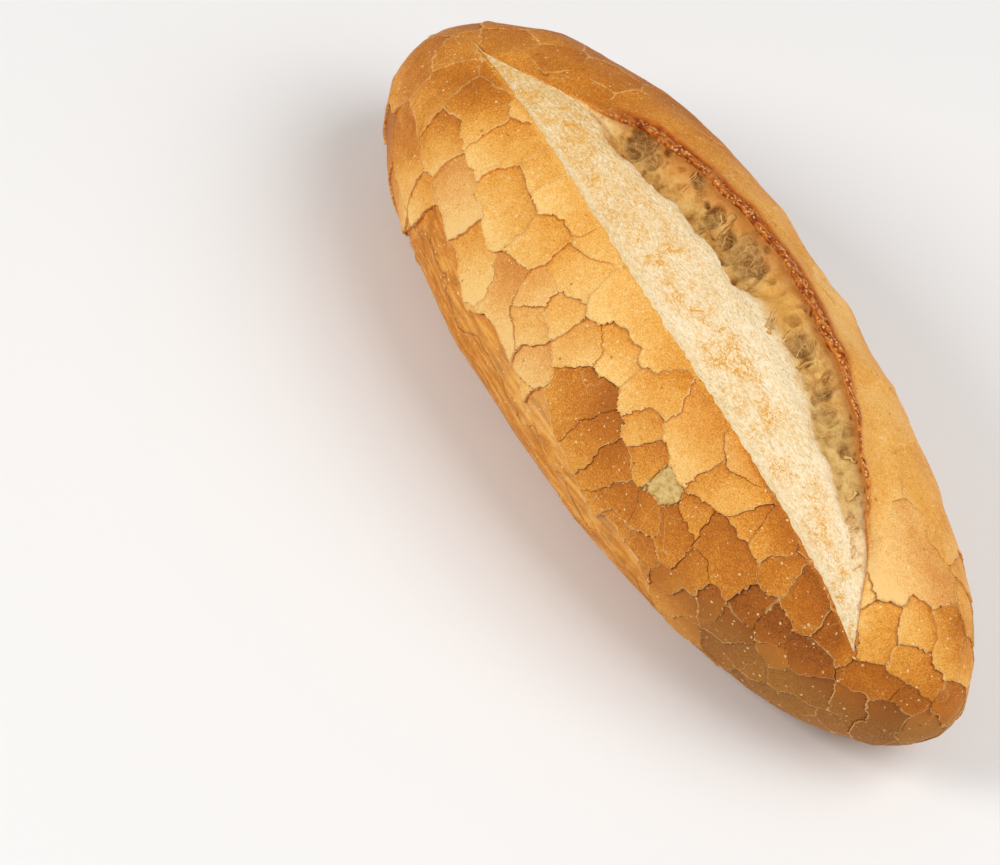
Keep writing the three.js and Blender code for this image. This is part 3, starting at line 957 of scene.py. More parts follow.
@dataclass(frozen=True)
class Crust:
    """The baked skin: crackled side, ends, ear and base, with a trench for the crumb."""

    body: LoafBody
    cut: Cut
    crackle: Crackle
    stations: int = 420
    base_rows: int = 9
    side_rows: int = 116
    ear_rows: int = 52
    lip_reach: float = 2.4
    lip_place: float = 3.3
    far_away: float = 60.0
    snapped: float = 0.03

    def station_places(self) -> Array:
        """x of the stations, at even steps along the loaf's outline."""
        turn = np.linspace(0, np.pi, 4001)
        x = -self.body.length / 2 * np.cos(turn)
        half = self.body.section(x).half
        length = np.concatenate([[0], np.cumsum(np.hypot(np.diff(x), np.diff(half)))])
        wanted = np.linspace(0, length[-1], self.stations + 2)[1:-1]
        return np.interp(wanted, length, x)

    def trench(self, x: Array, lines: CutLines) -> Array:
        """Rows across the cut: down the seam, along the trench, up to the lip.

        Each row has a share of the width, an offset from its nearer edge and a
        depth below the plain body; None stands for the floor's depth.
        """
        floor = 6.0 + 1.5 * self.cut.crevice * lines.torn
        thick = self.cut.lip_thickness
        wide = lines.lip - lines.seam
        rows = []
        for share, offset, down in (
            (0.05, 0.25, 0.35), (0.1, 0.2, 3.0), (0.2, 0.6, None), (0.6, 0.0, None),
            (0.85, 5.6, None), (0.9, 5.2, 4.4), (0.93, 2.4, thick + 0.3),
            (0.95, 0.8, thick + 0.15), (0.965, 0.2, thick), (0.975, -0.15, 1.35),
            (0.985, -0.3, 0.9), (0.993, -0.25, 0.4),
        ):
            opened = np.where(share > 0.5, lines.lip, lines.seam) + offset
            if down is None:
                opened = lines.seam + wide * mix(0.05, share, 0.9) + offset
            y = mix(lines.seam + wide * share, opened, lines.dug)
            sink = floor if down is None else down
            raised = self.cut.ear(offset) * lines.torn if share > 0.92 else 0.0
            height = self.body.height_at(x, y) - sink * lines.dug + raised
            rows.append(np.stack([x, y, height], -1))
        return np.stack(rows, axis=1)

    def breadth(self, x: Array) -> Array:
        """How broad the torn lip is: full at the far end, less towards the near."""
        return 0.3 + 0.7 * ease(60, 15, x)

    def lip_relief(self, points: Array, gap: Array, torn: Array) -> Array:
        """Height of the crust beside the lip: fringe, groove, ridge and ear."""
        ragged = rough_noise(points, 1.7, 71, 2)
        fringe = 0.8 * ragged * bell(gap, 3.0, 4)
        groove = -0.5 * bell(gap - self.lip_place - 0.6 * ragged, 0.5)
        ridge = 0.25 * bell(gap - 4.6, 1.3)
        relief = self.breadth(points[..., 0]) * (fringe + groove + ridge)
        return torn * (relief + self.cut.ear(gap))

    def grid(self) -> CrustGrid:
        """Lay the crust's grid: left side from the base up, trench, right side down."""
        x = self.station_places()
        lines = self.cut.lines(x)
        share = np.concatenate([np.linspace(0, 0.3, self.base_rows, endpoint=False),
                                np.linspace(0.3, 1, self.side_rows)])
        left = self.body.point(x[:, None], self.body.angle_at(x, lines.seam)[:, None] * share)
        steps = np.linspace(0, 1, self.ear_rows, endpoint=False)
        lip_angle = self.body.angle_at(x, lines.lip)[:, None]
        steps = 0.35 * steps + 0.65 * steps**2.2
        right = self.body.point(x[:, None], mix(lip_angle, 2 * np.pi, steps))
        cut = self.trench(x, lines)
        grid = np.concatenate([left, cut, right], axis=1)
        normals = grid_normals(grid)
        shape = grid.shape[:2]
        kind = np.repeat([0, 1, 2], [left.shape[1], cut.shape[1], right.shape[1]])
        is_cut, is_right, torn, dug = (np.broadcast_to(value, shape) for value in (
            kind == 1, kind == 2, lines.torn[:, None], lines.dug[:, None]))
        from_seam = np.linalg.norm(grid - left[:, -1:], axis=-1)
        from_lip = np.linalg.norm(grid - right[:, :1], axis=-1)

        upper = is_right & ((grid[..., 2] > 20) | (from_lip < 4))
        rise = np.where(upper, self.lip_relief(grid, from_lip, torn), 0.0)
        crumbly = torn * 0.6 * rough_noise(grid, 1.6, 75, 2)
        rise = rise + np.where(is_cut & (from_lip < self.lip_reach), crumbly, 0)
        wave = 0.5 * rough_noise(grid, 17.0, 61, 2) + 0.07 * rough_noise(grid, 1.5, 64, 2)
        wave = wave + np.where(is_right, 0.35 - 1.3 * np.abs(noise(grid, 24.0, 66)), 0.0)
        wave = wave * ease(1.0, 8.0, grid[..., 2])
        wave = wave * ease(0, 3, np.where(is_right, from_lip, from_seam))
        grid = grid + normals * np.where(is_cut, 0.0, wave)[..., None]
        grid[..., 2] += rise

        tip = self.body.length / 2
        poles = np.array([[-tip, 0.0, self.body.tip_height], [tip, 0.0, self.body.tip_height]])
        return CrustGrid(
            points=np.vstack([grid.reshape(-1, 3), poles]),
            normals=np.vstack([normals.reshape(-1, 3), [[-1.0, 0, 0], [1.0, 0, 0]]]),
            from_seam=with_poles(from_seam, self.far_away),
            from_lip=with_poles(from_lip, self.far_away),
            right=with_poles(is_right, 0.0),
            inner=with_poles(is_cut & (dug > 0.02), 0.0),
            torn=with_poles(torn, 0.0),
            dug=with_poles(dug, 0.0),
        )

    def build(self) -> MeshData:
        """Work out the whole crust, crack it and return its mesh."""
        grid = self.grid()
        beside = np.where(grid.right > 0, mix(1.0, ease(4.0, 9.0, grid.from_lip), grid.torn),
                          mix(1.0, ease(0.2, 1.4, grid.from_seam), grid.dug))
        strength = ease(4, 13, grid.points[:, 2]) * np.where(grid.inner > 0, 0.0, beside)
        mosaic = self.crackle.mosaic()
        points, borders = self.snap(grid, mosaic, strength)
        rows = (len(points) - 2) // self.stations
        a, b, c, d = grid_corners(self.stations, rows)
        on_border = borders.distance < self.snapped
        shorter = (np.linalg.norm(points[a] - points[c], axis=-1)
                   < np.linalg.norm(points[b] - points[d], axis=-1))
        ac, bd = on_border[a] & on_border[c], on_border[b] & on_border[d]
        faces = grid_faces(self.stations, rows, np.where(ac ^ bd, ac, shorter))
        centres = self.crackle.borders(points[faces].mean(axis=1), mosaic)
        points[:, 2] = np.maximum(points[:, 2], 0.0)
        soft = 0.22 * noise(points, 8.0, 81) + 0.12 * noise(points, 3.0, 82)
        skin = CrackedSkin(
            points, grid.normals, faces, borders, centres.label, borders.tone,
            step=ease(0.18, 0.42, borders.open + 0.5 * soft),
            openness=ease(0.55, 0.95, borders.open + soft),
            strength=strength,
        )
        return skin.build(self.looks(grid))

    def snap(self, grid: CrustGrid, mosaic: Mosaic, strength: Array) -> tuple[Array, Borders]:
        """Move points that lie within half a cell of a border onto it.

        Args:
            grid: The uncracked crust.
            mosaic: The crackle's plates.
            strength: Where the crust is crackled.

        Returns:
            The moved points, and what lies at each.
        """
        points, normals = grid.points.copy(), grid.normals
        shaped = points[:-2].reshape(self.stations, -1, 3)
        along = np.abs(np.gradient(shaped, axis=0)).reshape(-1, 3)
        round_ = np.abs(np.roll(shaped, -1, 1) - shaped).reshape(-1, 3)
        active = np.flatnonzero(strength[:-2] > 0)
        moved = np.zeros(len(points), bool)
        for turn in range(3):
            found = self.crackle.borders(points, mosaic)
            if turn == 2:
                break
            gap = found.distance[active]
            tangent = sideways(found.across[active], normals[active])
            reach = np.maximum((np.abs(tangent) * along[active]).sum(-1),
                               (np.abs(tangent) * round_[active]).sum(-1))
            near = (gap < 0.52 * reach) | moved[active]
            points[active[near]] += (tangent * np.minimum(gap, 0.7)[:, None])[near]
            moved[active[near]] = True
        distance = np.where(moved & (found.distance < 0.25), 0.0, found.distance)
        return points, found._replace(distance=distance)

    def looks(self, grid: CrustGrid) -> dict[str, Array]:
        """Named values that the crust's finish reads.

        Returns:
            toast: browning; side: the bare side below the torn line; lip:
                fringe of torn crust; ember and groove: red-brown band and dark line
                beside it; raw: crumb colour inside the trench; glow: orange under
                the lip; shade: painted shade, olive brown, on the near end's underside
                and low towards the base.
        """
        x, z = grid.points[:, 0], grid.points[:, 2]
        toast_left = (
            0.24 + 0.26 * ease(-48, -85, x) + 0.08 * ease(0, 30, x)
            + 0.28 * ease(38, 70, x) + 0.14 * ease(46, 30, z) * ease(0, 40, x)
            + 0.2 * np.exp(-grid.from_seam / 2.2) * ease(5, 40, x)
            - 0.12 * np.exp(-grid.from_seam / 14.0) * ease(-60, -35, x) * ease(40, 15, x)
        )
        toast_right = (
            0.16 + 0.4 * ease(5, -50, x) + 0.16 * ease(8, 25, grid.from_lip)
            + 0.26 * ease(80, 100, x)
        )
        past = np.where(grid.right > 0, 0.5 + 0.5 * ease(0, 9, grid.from_lip),
                        0.5 - 0.5 * ease(0, 9, grid.from_seam))
        toast = mix(toast_left, toast_right, mix(past, grid.right, grid.dug))
        toast = toast + 0.1 * rough_noise(grid.points, 26.0, 91, 3)
        left = 1 - grid.right
        bare = (self.crackle.side_line(grid.points) < 0) & (grid.points[:, 1] < 0)
        first, last = self.crackle.side_span
        side = left * bare * ease(first - 2, first + 4, x) * ease(last + 2, last - 8, x)
        broad = self.breadth(x)
        ragged = 0.5 * rough_noise(grid.points, 3.0, 93, 3)
        from_lip = grid.from_lip / broad + ragged
        reach = mix(1.7, 3.0, grid.right)
        lip = grid.torn * ease(reach + 0.5, reach, from_lip) * np.maximum(grid.right, grid.inner)
        ember = grid.torn * grid.right * broad * (
            0.75 * ease(6.0, 3.4, from_lip) + 0.25 * ease(10.0, 3.0, grid.from_lip))
        groove = grid.torn * grid.right * bell(from_lip - self.lip_place, 0.5)
        edge_gap = np.minimum(grid.from_lip + 9 * (1 - grid.torn), grid.from_seam)
        raw = grid.inner * ease(0.9, 2.2, edge_gap)
        raw = raw * ease(1.2, 2.0, grid.from_lip)
        glow = grid.inner * grid.torn * ease(3.6, 2.2, grid.from_lip)
        # Painted shade: darker on the near end's underside and low towards the base.
        shade = ease(34, 24, z + 0.12 * (x - 80)) * ease(35, 75, x) + 0.6 * ease(12, 2, z)
        return {"toast": toast, "side": side, "lip": lip, "ember": ember, "groove": groove,
                "raw": raw, "glow": glow, "shade": np.clip(shade, 0, 1)}


# -------------------------------------------------------------------- crumb


class Pocket(NamedTuple):
    """A hollow in the torn wall: the pixel it shows at, and its size in mm."""

    pixel: tuple[int, int]
    radius: float
    depth: float


POCKETS = (
    Pocket((592, 109), 1.2, 3.0), Pocket((643, 147), 3.6, 3.5), Pocket((652, 161), 2.4, 2.5),
    Pocket((669, 151), 1.0, 2.2), Pocket((700, 181), 1.6, 2.6), Pocket((702, 193), 1.0, 1.4),
    Pocket((705, 204), 0.9, 2.4), Pocket((713, 217), 2.5, 3.4), Pocket((727, 240), 1.7, 2.6),
    Pocket((747, 256), 4.4, 3.2), Pocket((759, 267), 2.2, 3.4), Pocket((767, 323), 1.7, 3.0),
    Pocket((799, 343), 2.8, 3.6), Pocket((808, 360), 1.4, 2.6), Pocket((823, 393), 2.1, 3.2),
    Pocket((829, 415), 1.7, 1.8), Pocket((835, 438), 1.8, 1.4), Pocket((846, 451), 1.6, 2.6),
)


class Stain(NamedTuple):
    """Where the torn wall is ochre (tint 1) or pale olive (tint -1), by its pixel."""

    pixel: tuple[int, int]
    radius: float
    tint: float


STAINS = (
    Stain((612, 122), 4.0, -0.7), Stain((680, 180), 5.0, 0.5), Stain((712, 200), 3.0, 0.3),
    Stain((740, 212), 4.0, 0.5), Stain((776, 308), 6.5, 1.0), Stain((762, 318), 4.0, 0.9),
    Stain((793, 318), 4.0, 0.6), Stain((825, 385), 3.0, 0.3), Stain((838, 400), 3.0, 0.2),
)


class Strand(NamedTuple):
    """A thread or ribbon across the tear: pixels of its ends, and its sizes in mm.

    Attributes:
        start: Pixel of one foot.
        end: Pixel of the other foot.
        radius: Half its width.
        rise: Height of its arch over the wall.
        flat: Its thickness over its width.
    """

    start: tuple[int, int]
    end: tuple[int, int]
    radius: float
    rise: float
    flat: float = 1.0


STRANDS = (
    Strand((680, 190), (698, 172), 0.16, 0.3), Strand((683, 192), (697, 176), 0.1, 0.2),
    Strand((712, 236), (735, 216), 0.75, 0.9, 0.3), Strand((717, 239), (731, 226), 0.4, 0.7, 0.3),
    Strand((710, 232), (724, 222), 0.3, 0.6, 0.3), Strand((721, 215), (722, 226), 0.22, 0.8, 0.4),
    Strand((732, 262), (746, 250), 0.1, 0.4), Strand((738, 268), (741, 254), 0.08, 0.4),
    Strand((746, 275), (752, 262), 0.08, 0.3), Strand((765, 328), (776, 308), 0.25, 0.5, 0.4),
    Strand((770, 335), (777, 318), 0.16, 0.5, 0.4), Strand((764, 334), (772, 327), 0.3, 0.3, 0.4),
    Strand((782, 342), (792, 330), 0.2, 0.4, 0.4), Strand((797, 368), (818, 360), 0.3, 0.6, 0.4),
    Strand((799, 371), (812, 362), 0.2, 0.6, 0.5), Strand((804, 389), (827, 376), 0.24, 0.9, 0.6),
    Strand((806, 391), (822, 380), 0.12, 0.8), Strand((796, 356), (806, 342), 0.09, 0.4),
    Strand((817, 354), (815, 341), 0.09, 0.4), Strand((813, 414), (834, 410), 0.12, 0.4, 0.6),
    Strand((820, 437), (834, 431), 0.1, 0.3), Strand((845, 558), (854, 546), 0.22, 0.7, 0.6),
    Strand((851, 571), (861, 565), 0.16, 0.6, 0.6), Strand((842, 543), (852, 537), 0.16, 0.5, 0.6),
    Strand((845, 524), (853, 516), 0.35, 0.5, 0.4), Strand((846, 531), (858, 528), 0.3, 0.5, 0.4),
    Strand((848, 500), (856, 492), 0.3, 0.4, 0.4), Strand((845, 458), (856, 462), 0.35, 0.4, 0.4),
    Strand((727, 236), (722, 246), 0.14, 0.5), Strand((740, 246), (728, 238), 0.08, 0.4),
)


@dataclass(frozen=True)
class Crumb:
    """The crumb in the cut: a fibrous bloom, and the torn wall beside it."""

    body: LoafBody
    cut: Cut
    view: View
    stations: int = 540
    bloom_rows: int = 64
    drop_rows: int = 18
    wall_rows: int = 52
    rise: float = 0.6
    shoulder: float = 0.6
    seam_step: float = 0.1
    overhang: float = 0.7
    thickness: float = 5.0
    full_hollow: float = 1.5
    hidden_place: float = 9.0

    def crevice(self, x: Array) -> Array:
        """Depth of the tear at x: deep, with bridges, and shallow at the near end."""
        bridges = (0.6 * bell(x + 44, 5) + 0.74 * bell(x - 14, 6)
                   + 0.62 * ease(12, 24, x) + 0.14 * ease(44, 58, x))
        lump = 1 + 0.1 * np.sin(0.61 * x) + 0.08 * np.sin(1.3 * x)
        return self.cut.crevice * lump * (1 - np.minimum(bridges, 0.8))

    def soft(self, x: Array) -> Array:
        """How softly the bloom falls into the tear: an edge far off, a slope near."""
        return ease(5, 11, x) * (1 - 0.5 * ease(38, 48, x))

    def rows(self, x: Array) -> tuple[Array, Array]:
        """Rows round the crumb's section, and the place of each row.

        Places run from 0 at the seam over 1 at the bloom's right edge and 2 in
        the crevice to 3 under the lip; hidden rows have their own place.
        """
        lines = self.cut.lines(x)
        flat = on_line(x, 3.0)
        ragged = 0.3 * rough_noise(flat, 5.0, 101, 2) + 0.5 * rough_noise(flat, 1.7, 104, 2)
        bloom_y = lines.bloom + ragged * lines.torn
        wide = lines.lip - lines.seam

        def column(value: Array) -> Array:
            return value[:, None]

        def strip(y: Array, down: Array) -> Array:
            height = self.body.height_at(column(x), y) - down
            return np.stack(np.broadcast_arrays(column(x), y, height), -1)

        share = np.linspace(0, 1, self.bloom_rows)[None]
        hump = self.rise * np.sin(np.pi * share**0.85) * column(ease(2, 16, wide))
        fall = self.shoulder * column(lines.torn) * ease(0.84, 1.04, share) ** 1.5
        step = self.seam_step * column(lines.dug) * (1 - ease(0.0, 0.2, share))
        bloom = strip(mix(column(lines.seam), column(bloom_y), share), step - hump + fall)

        soft = self.soft(x)
        deep_y = mix(bloom_y, lines.lip, mix(self.cut.crevice_place, 0.6, soft))
        edge_down = self.shoulder * lines.torn
        deep = np.maximum(self.crevice(x) * lines.torn, edge_down + 0.2)
        share = np.linspace(0, 1, self.drop_rows + 1)[None, 1:]
        tuck = -self.overhang * np.sin(np.pi * share)
        tuck = tuck * column(lines.torn * ease(3, 7, deep) * (1 - soft))
        drop = strip(
            mix(column(bloom_y), column(deep_y), mix(share**1.6, share, column(soft))) + tuck,
            mix(column(edge_down), column(deep),
                mix(share**0.85, share * share * (3 - 2 * share), column(soft))),
        )

        under_y = lines.lip + 1.0 * lines.torn
        under_down = mix(0.5, self.cut.lip_thickness + 0.1 - self.cut.ear_rise, lines.torn)
        share = np.linspace(0, 1, self.wall_rows + 1)[None, 1:]
        wall = strip(mix(column(deep_y), column(under_y), share**0.8),
                     mix(column(deep), column(under_down), share**1.05))
        under_wall = np.maximum(deep, under_down) + self.thickness * lines.dug
        hidden = [
            strip(column(lines.lip + mix(0.8, 4.6, lines.torn) * lines.dug),
                  column(under_down + mix(0.6, 2.8, lines.torn))),
            strip(column(lines.lip + mix(0.3, 4.4, lines.torn) * lines.dug),
                  column(under_wall)),
            strip(column(mix(bloom_y, lines.lip, 0.3)), column(under_wall + 0.4)),
            strip(column(mix(lines.seam, bloom_y, 0.5)), column(4.6 * lines.dug + 0.4)),
            strip(column(lines.seam - 1.2 * lines.dug), column(2.2 * lines.dug + 0.3)),
            strip(column(lines.seam - 0.35 * lines.dug), column(1.0 * lines.dug + 0.2)),
        ]
        place = np.concatenate([
            np.linspace(0, 1, self.bloom_rows),
            1 + np.linspace(0, 1, self.drop_rows + 1)[1:],
            2 + np.linspace(0, 1, self.wall_rows + 1)[1:],
            np.full(len(hidden), self.hidden_place),
        ])
        return np.concatenate([bloom, drop, wall, *hidden], axis=1), place

    def build(self) -> MeshData:
        """Work out the crumb's closed body and return its mesh."""
        reach = self.cut.end + 0.3
        x = np.linspace(-reach, reach, self.stations)
        lines = self.cut.lines(x)
        grid, place = self.rows(x)
        normals = grid_normals(grid)
        place = np.broadcast_to(place, grid.shape[:2])
        torn = np.broadcast_to(lines.torn[:, None], place.shape)
        seen = place < self.hidden_place
        soft = self.soft(x)[:, None]
        in_tear = ease(mix(0.95, 1.0, soft), mix(1.12, 1.75, soft), place) * seen * torn
        on_bloom = seen * ease(0.0, 0.05, place) * ease(1.06, 0.94, place)
        hollow, tint = self.marked(grid)
        dip, pit = self.pits(grid, hollow)
        relief = self.fibres(grid) * on_bloom
        dips = (dip + hollow) * in_tear
        relief = relief - dips * ease(1.0, 1.6, place) * ease(3.02, 2.85, place)
        grid = grid + normals * relief[..., None]
        poles = np.stack([grid[0].mean(0), grid[-1].mean(0)])
        values = {
            "place": np.where(seen, place, 3.0),
            "torn": in_tear,
            # hollow and pit carry the depth of the pockets and holes, which the finish paints as
            # shade.
            "hollow": np.clip(hollow / self.full_hollow, 0, 1) * in_tear,
            "pit": pit * in_tear,
            "tint": tint * in_tear,
            "along": np.broadcast_to(x[:, None] * MM, place.shape),
        }
        values = {name: with_poles(value, 0.0) for name, value in values.items()}
        points = np.vstack([grid.reshape(-1, 3), poles])
        return MeshData(points, grid_faces(*place.shape), values)

    def marked(self, grid: Array) -> tuple[Array, Array]:
        """Depth of the pockets and tint of the stains that the picture shows."""
        shaken = self.view.pixels(grid) + 3.0 * noises(grid, 2.2, 125, 2)

        def gap_to(pixel: tuple[int, int]) -> Array:
            return np.linalg.norm(shaken - pixel, axis=-1) * self.view.mm_per_pixel()

        hollow, tint = np.zeros(grid.shape[:-1]), -0.8 * ease(24, 44, grid[..., 0])
        for pocket in POCKETS:
            dug = 0.55 * pocket.depth * bell(gap_to(pocket.pixel), pocket.radius, 4)
            hollow = np.maximum(hollow, dug)
        for stain in STAINS:
            tint = mix(tint, stain.tint, bell(gap_to(stain.pixel), stain.radius))
        return hollow, tint

    def fibres(self, grid: Array) -> Array:
        """Height of the bloom's fibres: low ridges drawn out along the loaf."""
        turned = grid + 1.6 * noises(grid, 4.0, 107)
        slanted = turned.copy()
        slanted[..., 0] = turned[..., 0] * 0.5
        slanted[..., 1] = turned[..., 1] + 0.3 * turned[..., 0]
        ridges = 1 - 2 * np.abs(noise(slanted, 1.7, 118))
        finer = 1 - 2 * np.abs(noise(slanted, 0.9, 119))
        return 0.03 * ridges + 0.04 * finer + 0.22 * rough_noise(grid, 9.0, 115, 2)

    def pits(self, grid: Array, hollow: Array) -> tuple[Array, Array]:
        """Depth of the small holes of torn crumb, and where they are.

        A hole is as deep as its own draw says, over the distance to the wall
        that it shares with its neighbour. Most holes lie in the hollows.
        """
        stretched = grid + noises(grid, 2.4, 121)
        stretched = stretched * np.array([1.0, 0.75, 0.75])
        inside = np.clip(hollow / 1.2, 0, 1)
        total, pit = np.zeros(grid.shape[:-1]), np.zeros(grid.shape[:-1])
        for size, depth, seed in ((3.0, 0.7, 131), (1.7, 0.5, 141)):
            found = cells(stretched, size, seed)
            wall = (found.second - found.near) / size
            chosen = ease(0.72, 0.9, found.draw + 0.5 * inside)
            hole = ease(0.08, 0.45, wall) * chosen
            total += depth * hole
            pit = np.maximum(pit, hole)
        return total + 0.25 * rough_noise(grid, 3.0, 151, 3), pit


@dataclass(frozen=True)
class TearStrands:
    """Threads of crumb that still bridge the tear, from bloom to wall."""

    crumb: Crumb
    seed: int = 5
    count: int = 7
    steps: int = 16
    sides: int = 6

    def build(self) -> MeshData:
        """Sweep each thread along a wavering line between its two feet."""
        draw = np.random.default_rng(self.seed)
        grid, place = self.crumb.rows(np.linspace(-60, 80, 500))
        wall = grid[:, (place > 1.05) & (place < 3)].reshape(-1, 3)
        shown = self.crumb.view.pixels(wall)
        near = draw.choice(np.array([pocket.pixel for pocket in POCKETS]), self.count)
        start = near + draw.normal(0, 9, (self.count, 2))
        end = start + draw.normal(0, 7, (self.count, 2)) + np.array([3.0, -3.0])
        feet = np.array([(strand.start, strand.end) for strand in STRANDS], float)
        feet = np.concatenate([feet, np.stack([start, end], axis=1)])
        gaps = np.linalg.norm(feet[:, :, None] - shown[None, None], axis=-1)
        feet = wall[gaps.argmin(axis=2)]
        radius = np.array([strand.radius for strand in STRANDS])
        radius = np.concatenate([radius, draw.uniform(0.03, 0.06, self.count)])
        flat = np.concatenate([[strand.flat for strand in STRANDS], np.ones(self.count)])
        rise = np.array([strand.rise for strand in STRANDS])
        rise = np.concatenate([rise, draw.uniform(0.1, 0.6, self.count)])
        t = np.linspace(0, 1, self.steps)[None, :, None]
        arch = np.sin(np.pi * t)
        up = self.crumb.view.axes()[2]
        line = mix(feet[:, :1], feet[:, 1:], t) + arch * rise[:, None, None] * up
        line += 0.55 * arch * noises(line, 1.3, 161)
        girth = radius[:, None] * (0.7 + 0.8 * np.abs(2 * t[..., 0] - 1) ** 3)
        girth = girth * (1 + 0.45 * noise(line, 0.8, 171))
        return tubes(line, girth, flat, up, self.sides)


def tubes(lines: Array, radius: Array, flat: Array, up: Array, sides: int) -> MeshData:
    """Round or flat threads along many lines at once.

    Each ring stands square to its line: its points are the line's point plus
    radius times (cos a first + flat sin a second), with both ends drawn to a
    tip. The second way lies nearest to up.

    Args:
        lines: Middle lines, shape (threads, steps, 3).
        radius: Radius at each step, shape (threads, steps).
        flat: Thickness over width of each thread.
        up: Direction that flat threads face.
        sides: Points of a ring.

    Returns:
        One mesh of closed threads.
    """
    threads, steps = radius.shape
    along = unit(np.gradient(lines, axis=1))
    first = unit(np.cross(along, up))
    second = np.cross(first, along) * flat[:, None, None]
    turn = np.linspace(0, 2 * np.pi, sides, endpoint=False)
    ring = first[:, :, None] * np.cos(turn)[:, None] + second[:, :, None] * np.sin(turn)[:, None]
    points = lines[:, :, None] + ring * radius[:, :, None, None]
    tips = np.stack([lines[:, 0] - along[:, 0] * 0.1, lines[:, -1] + along[:, -1] * 0.1], 1)
    every = np.concatenate([points.reshape(threads, -1, 3), tips], axis=1)
    offset = np.arange(threads)[:, None, None] * every.shape[1]
    return MeshData(every.reshape(-1, 3), (grid_faces(steps, sides) + offset).reshape(-1, 3))


# ----------------------------------------------------------------- finishes


class Nodes:
    """A small hand for wiring a material's or a group's nodes."""

    def __init__(self, tree: bpy.types.NodeTree) -> None:
        """Keep the tree that nodes are added to."""
        self.tree = tree

    def add(self, kind: str, **settings: object) -> Node:
        """Add a node and set its properties."""
        node = self.tree.nodes.new(kind)
        for key, value in settings.items():
            setattr(node, key, value)
        return node

    def link(self, source: object, target: Socket) -> None:
        """Feed a socket with another socket or with a plain value."""
        if isinstance(source, Socket):
            self.tree.links.new(source, target)
        else:
            target.default_value = source

    def feed(self, node: Node, **inputs: object) -> Node:
        """Feed a node's inputs by name, with _ for a space, and return the node."""
        for name, source in inputs.items():
            self.link(source, node.inputs[name.replace("_", " ")])
        return node

    def value(self, name: str) -> Socket:
        """A named value of the mesh."""
        return self.add("ShaderNodeAttribute", attribute_name=name).outputs["Fac"]

    def math(self, operation: str, *inputs: object) -> Socket:
        """Arithmetic on up to three inputs."""
        node = self.add("ShaderNodeMath", operation=operation)
        for socket, source in zip(node.inputs, inputs):
            self.link(source, socket)
        return node.outputs[0]

    def times(self, first: object, *others: object) -> Socket:
        """Product of all inputs."""
        for other in others:
            first = self.math("MULTIPLY", first, other)
        return first

    def total(self, start: object, *terms: tuple[object, float]) -> Socket:
        """Start value plus each term's value times its weight."""
        for value, weight in terms:
            start = self.math("MULTIPLY_ADD", value, weight, start)
        return start

    def line(self, source: object, middle: float, wide: float, fine: float) -> Socket:
        """1 where a value is within fine of its middle, 0 beyond wide."""
        gap = self.math("ABSOLUTE", self.math("SUBTRACT", source, middle))
        return self.remap(gap, wide, fine)

    def remap(self, source: object, low: float, high: float, to_low: float = 0.0,
              to_high: float = 1.0) -> Socket:
        """Smooth step of a value between two limits."""
        node = self.add("ShaderNodeMapRange", interpolation_type="SMOOTHSTEP")
        return self.feed(node, Value=source, From_Min=low, From_Max=high,
                         To_Min=to_low, To_Max=to_high).outputs[0]

    def blend(self, share: object, first: object, second: object) -> Socket:
        """Blend two colours."""
        node = self.add("ShaderNodeMix", data_type="RGBA", blend_type="MIX")
        for place, source in ((0, share), (6, first), (7, second)):
            self.link(source, node.inputs[place])
        return node.outputs[2]

    def coat(self, colour: Socket, shade: Rgb | Socket, share: object,
             *weights: object) -> Socket:
        """Lay a shade over a colour, by a share times its weights."""
        second = shade if isinstance(shade, Socket) else paint(*shade)
        return self.blend(self.times(share, *weights), colour, second)

    def ramp(self, source: object, stops: tuple[Stop, ...]) -> Socket:
        """Colour ramp with the given places and screen colours."""
        node = self.add("ShaderNodeValToRGB")
        elements = node.color_ramp.elements
        while len(elements) < len(stops):
            elements.new(0.5)
        for element, (place, *shade) in zip(elements, stops):
            element.position = place
            element.color = paint(*shade)
        self.link(source, node.inputs[0])
        return node.outputs["Color"]

    def wave(self, vector: object, scale: object, detail: float = 2.0,
             roughness: float = 0.5, distortion: float = 0.0) -> Node:
        """Noise texture of the given scale per metre."""
        return self.feed(self.add("ShaderNodeTexNoise"), Vector=vector, Scale=scale,
                         Detail=detail, Roughness=roughness, Distortion=distortion)

    def noise(self, vector: object, scale: float, detail: float = 4.0,
              roughness: float = 0.55, distortion: float = 0.0) -> Socket:
        """Height of a noise texture of the given scale per metre."""
        return self.wave(vector, scale, detail, roughness, distortion).outputs["Fac"]

    def spots(self, vector: object, scale: float, feature: str = "F1") -> Node:
        """Scattered cells of the given scale per metre."""
        node = self.add("ShaderNodeTexVoronoi", feature=feature)
        return self.feed(node, Vector=vector, Scale=scale)

    def walls(self, vector: object, scale: float, wide: float, fine: float) -> Socket:
        """Borders of scattered cells, between two widths as shares of a cell."""
        cell = self.spots(vector, scale, "DISTANCE_TO_EDGE")
        return self.remap(cell.outputs["Distance"], wide, fine)

    def draws(self, spot: Node) -> Socket:
        """A draw from 0 to 1 for each of the scattered cells."""
        parted = self.add("ShaderNodeSeparateColor")
        self.link(spot.outputs["Color"], parted.inputs[0])
        return parted.outputs[0]

    def place(self, stretch: float = 1.0, turn: float = 0.0) -> Socket:
        """Object coordinates, scaled along X and turned about Z."""
        source = self.add("ShaderNodeTexCoord").outputs["Object"]
        if stretch == 1.0 and turn == 0.0:
            return source
        return self.feed(self.add("ShaderNodeMapping"), Vector=source,
                         Scale=(stretch, 1.0, 1.0), Rotation=(0, 0, turn)).outputs[0]

    def shaken(self, place: Socket, scale: float, reach: float) -> Socket:
        """Place moved by noise of that scale per metre and reach in metres."""
        moved = self.add("ShaderNodeVectorMath", operation="MULTIPLY_ADD")
        sources = self.wave(place, scale).outputs["Color"], (reach,) * 3, place
        for socket, source in zip(moved.inputs, sources):
            self.link(source, socket)
        return moved.outputs[0]


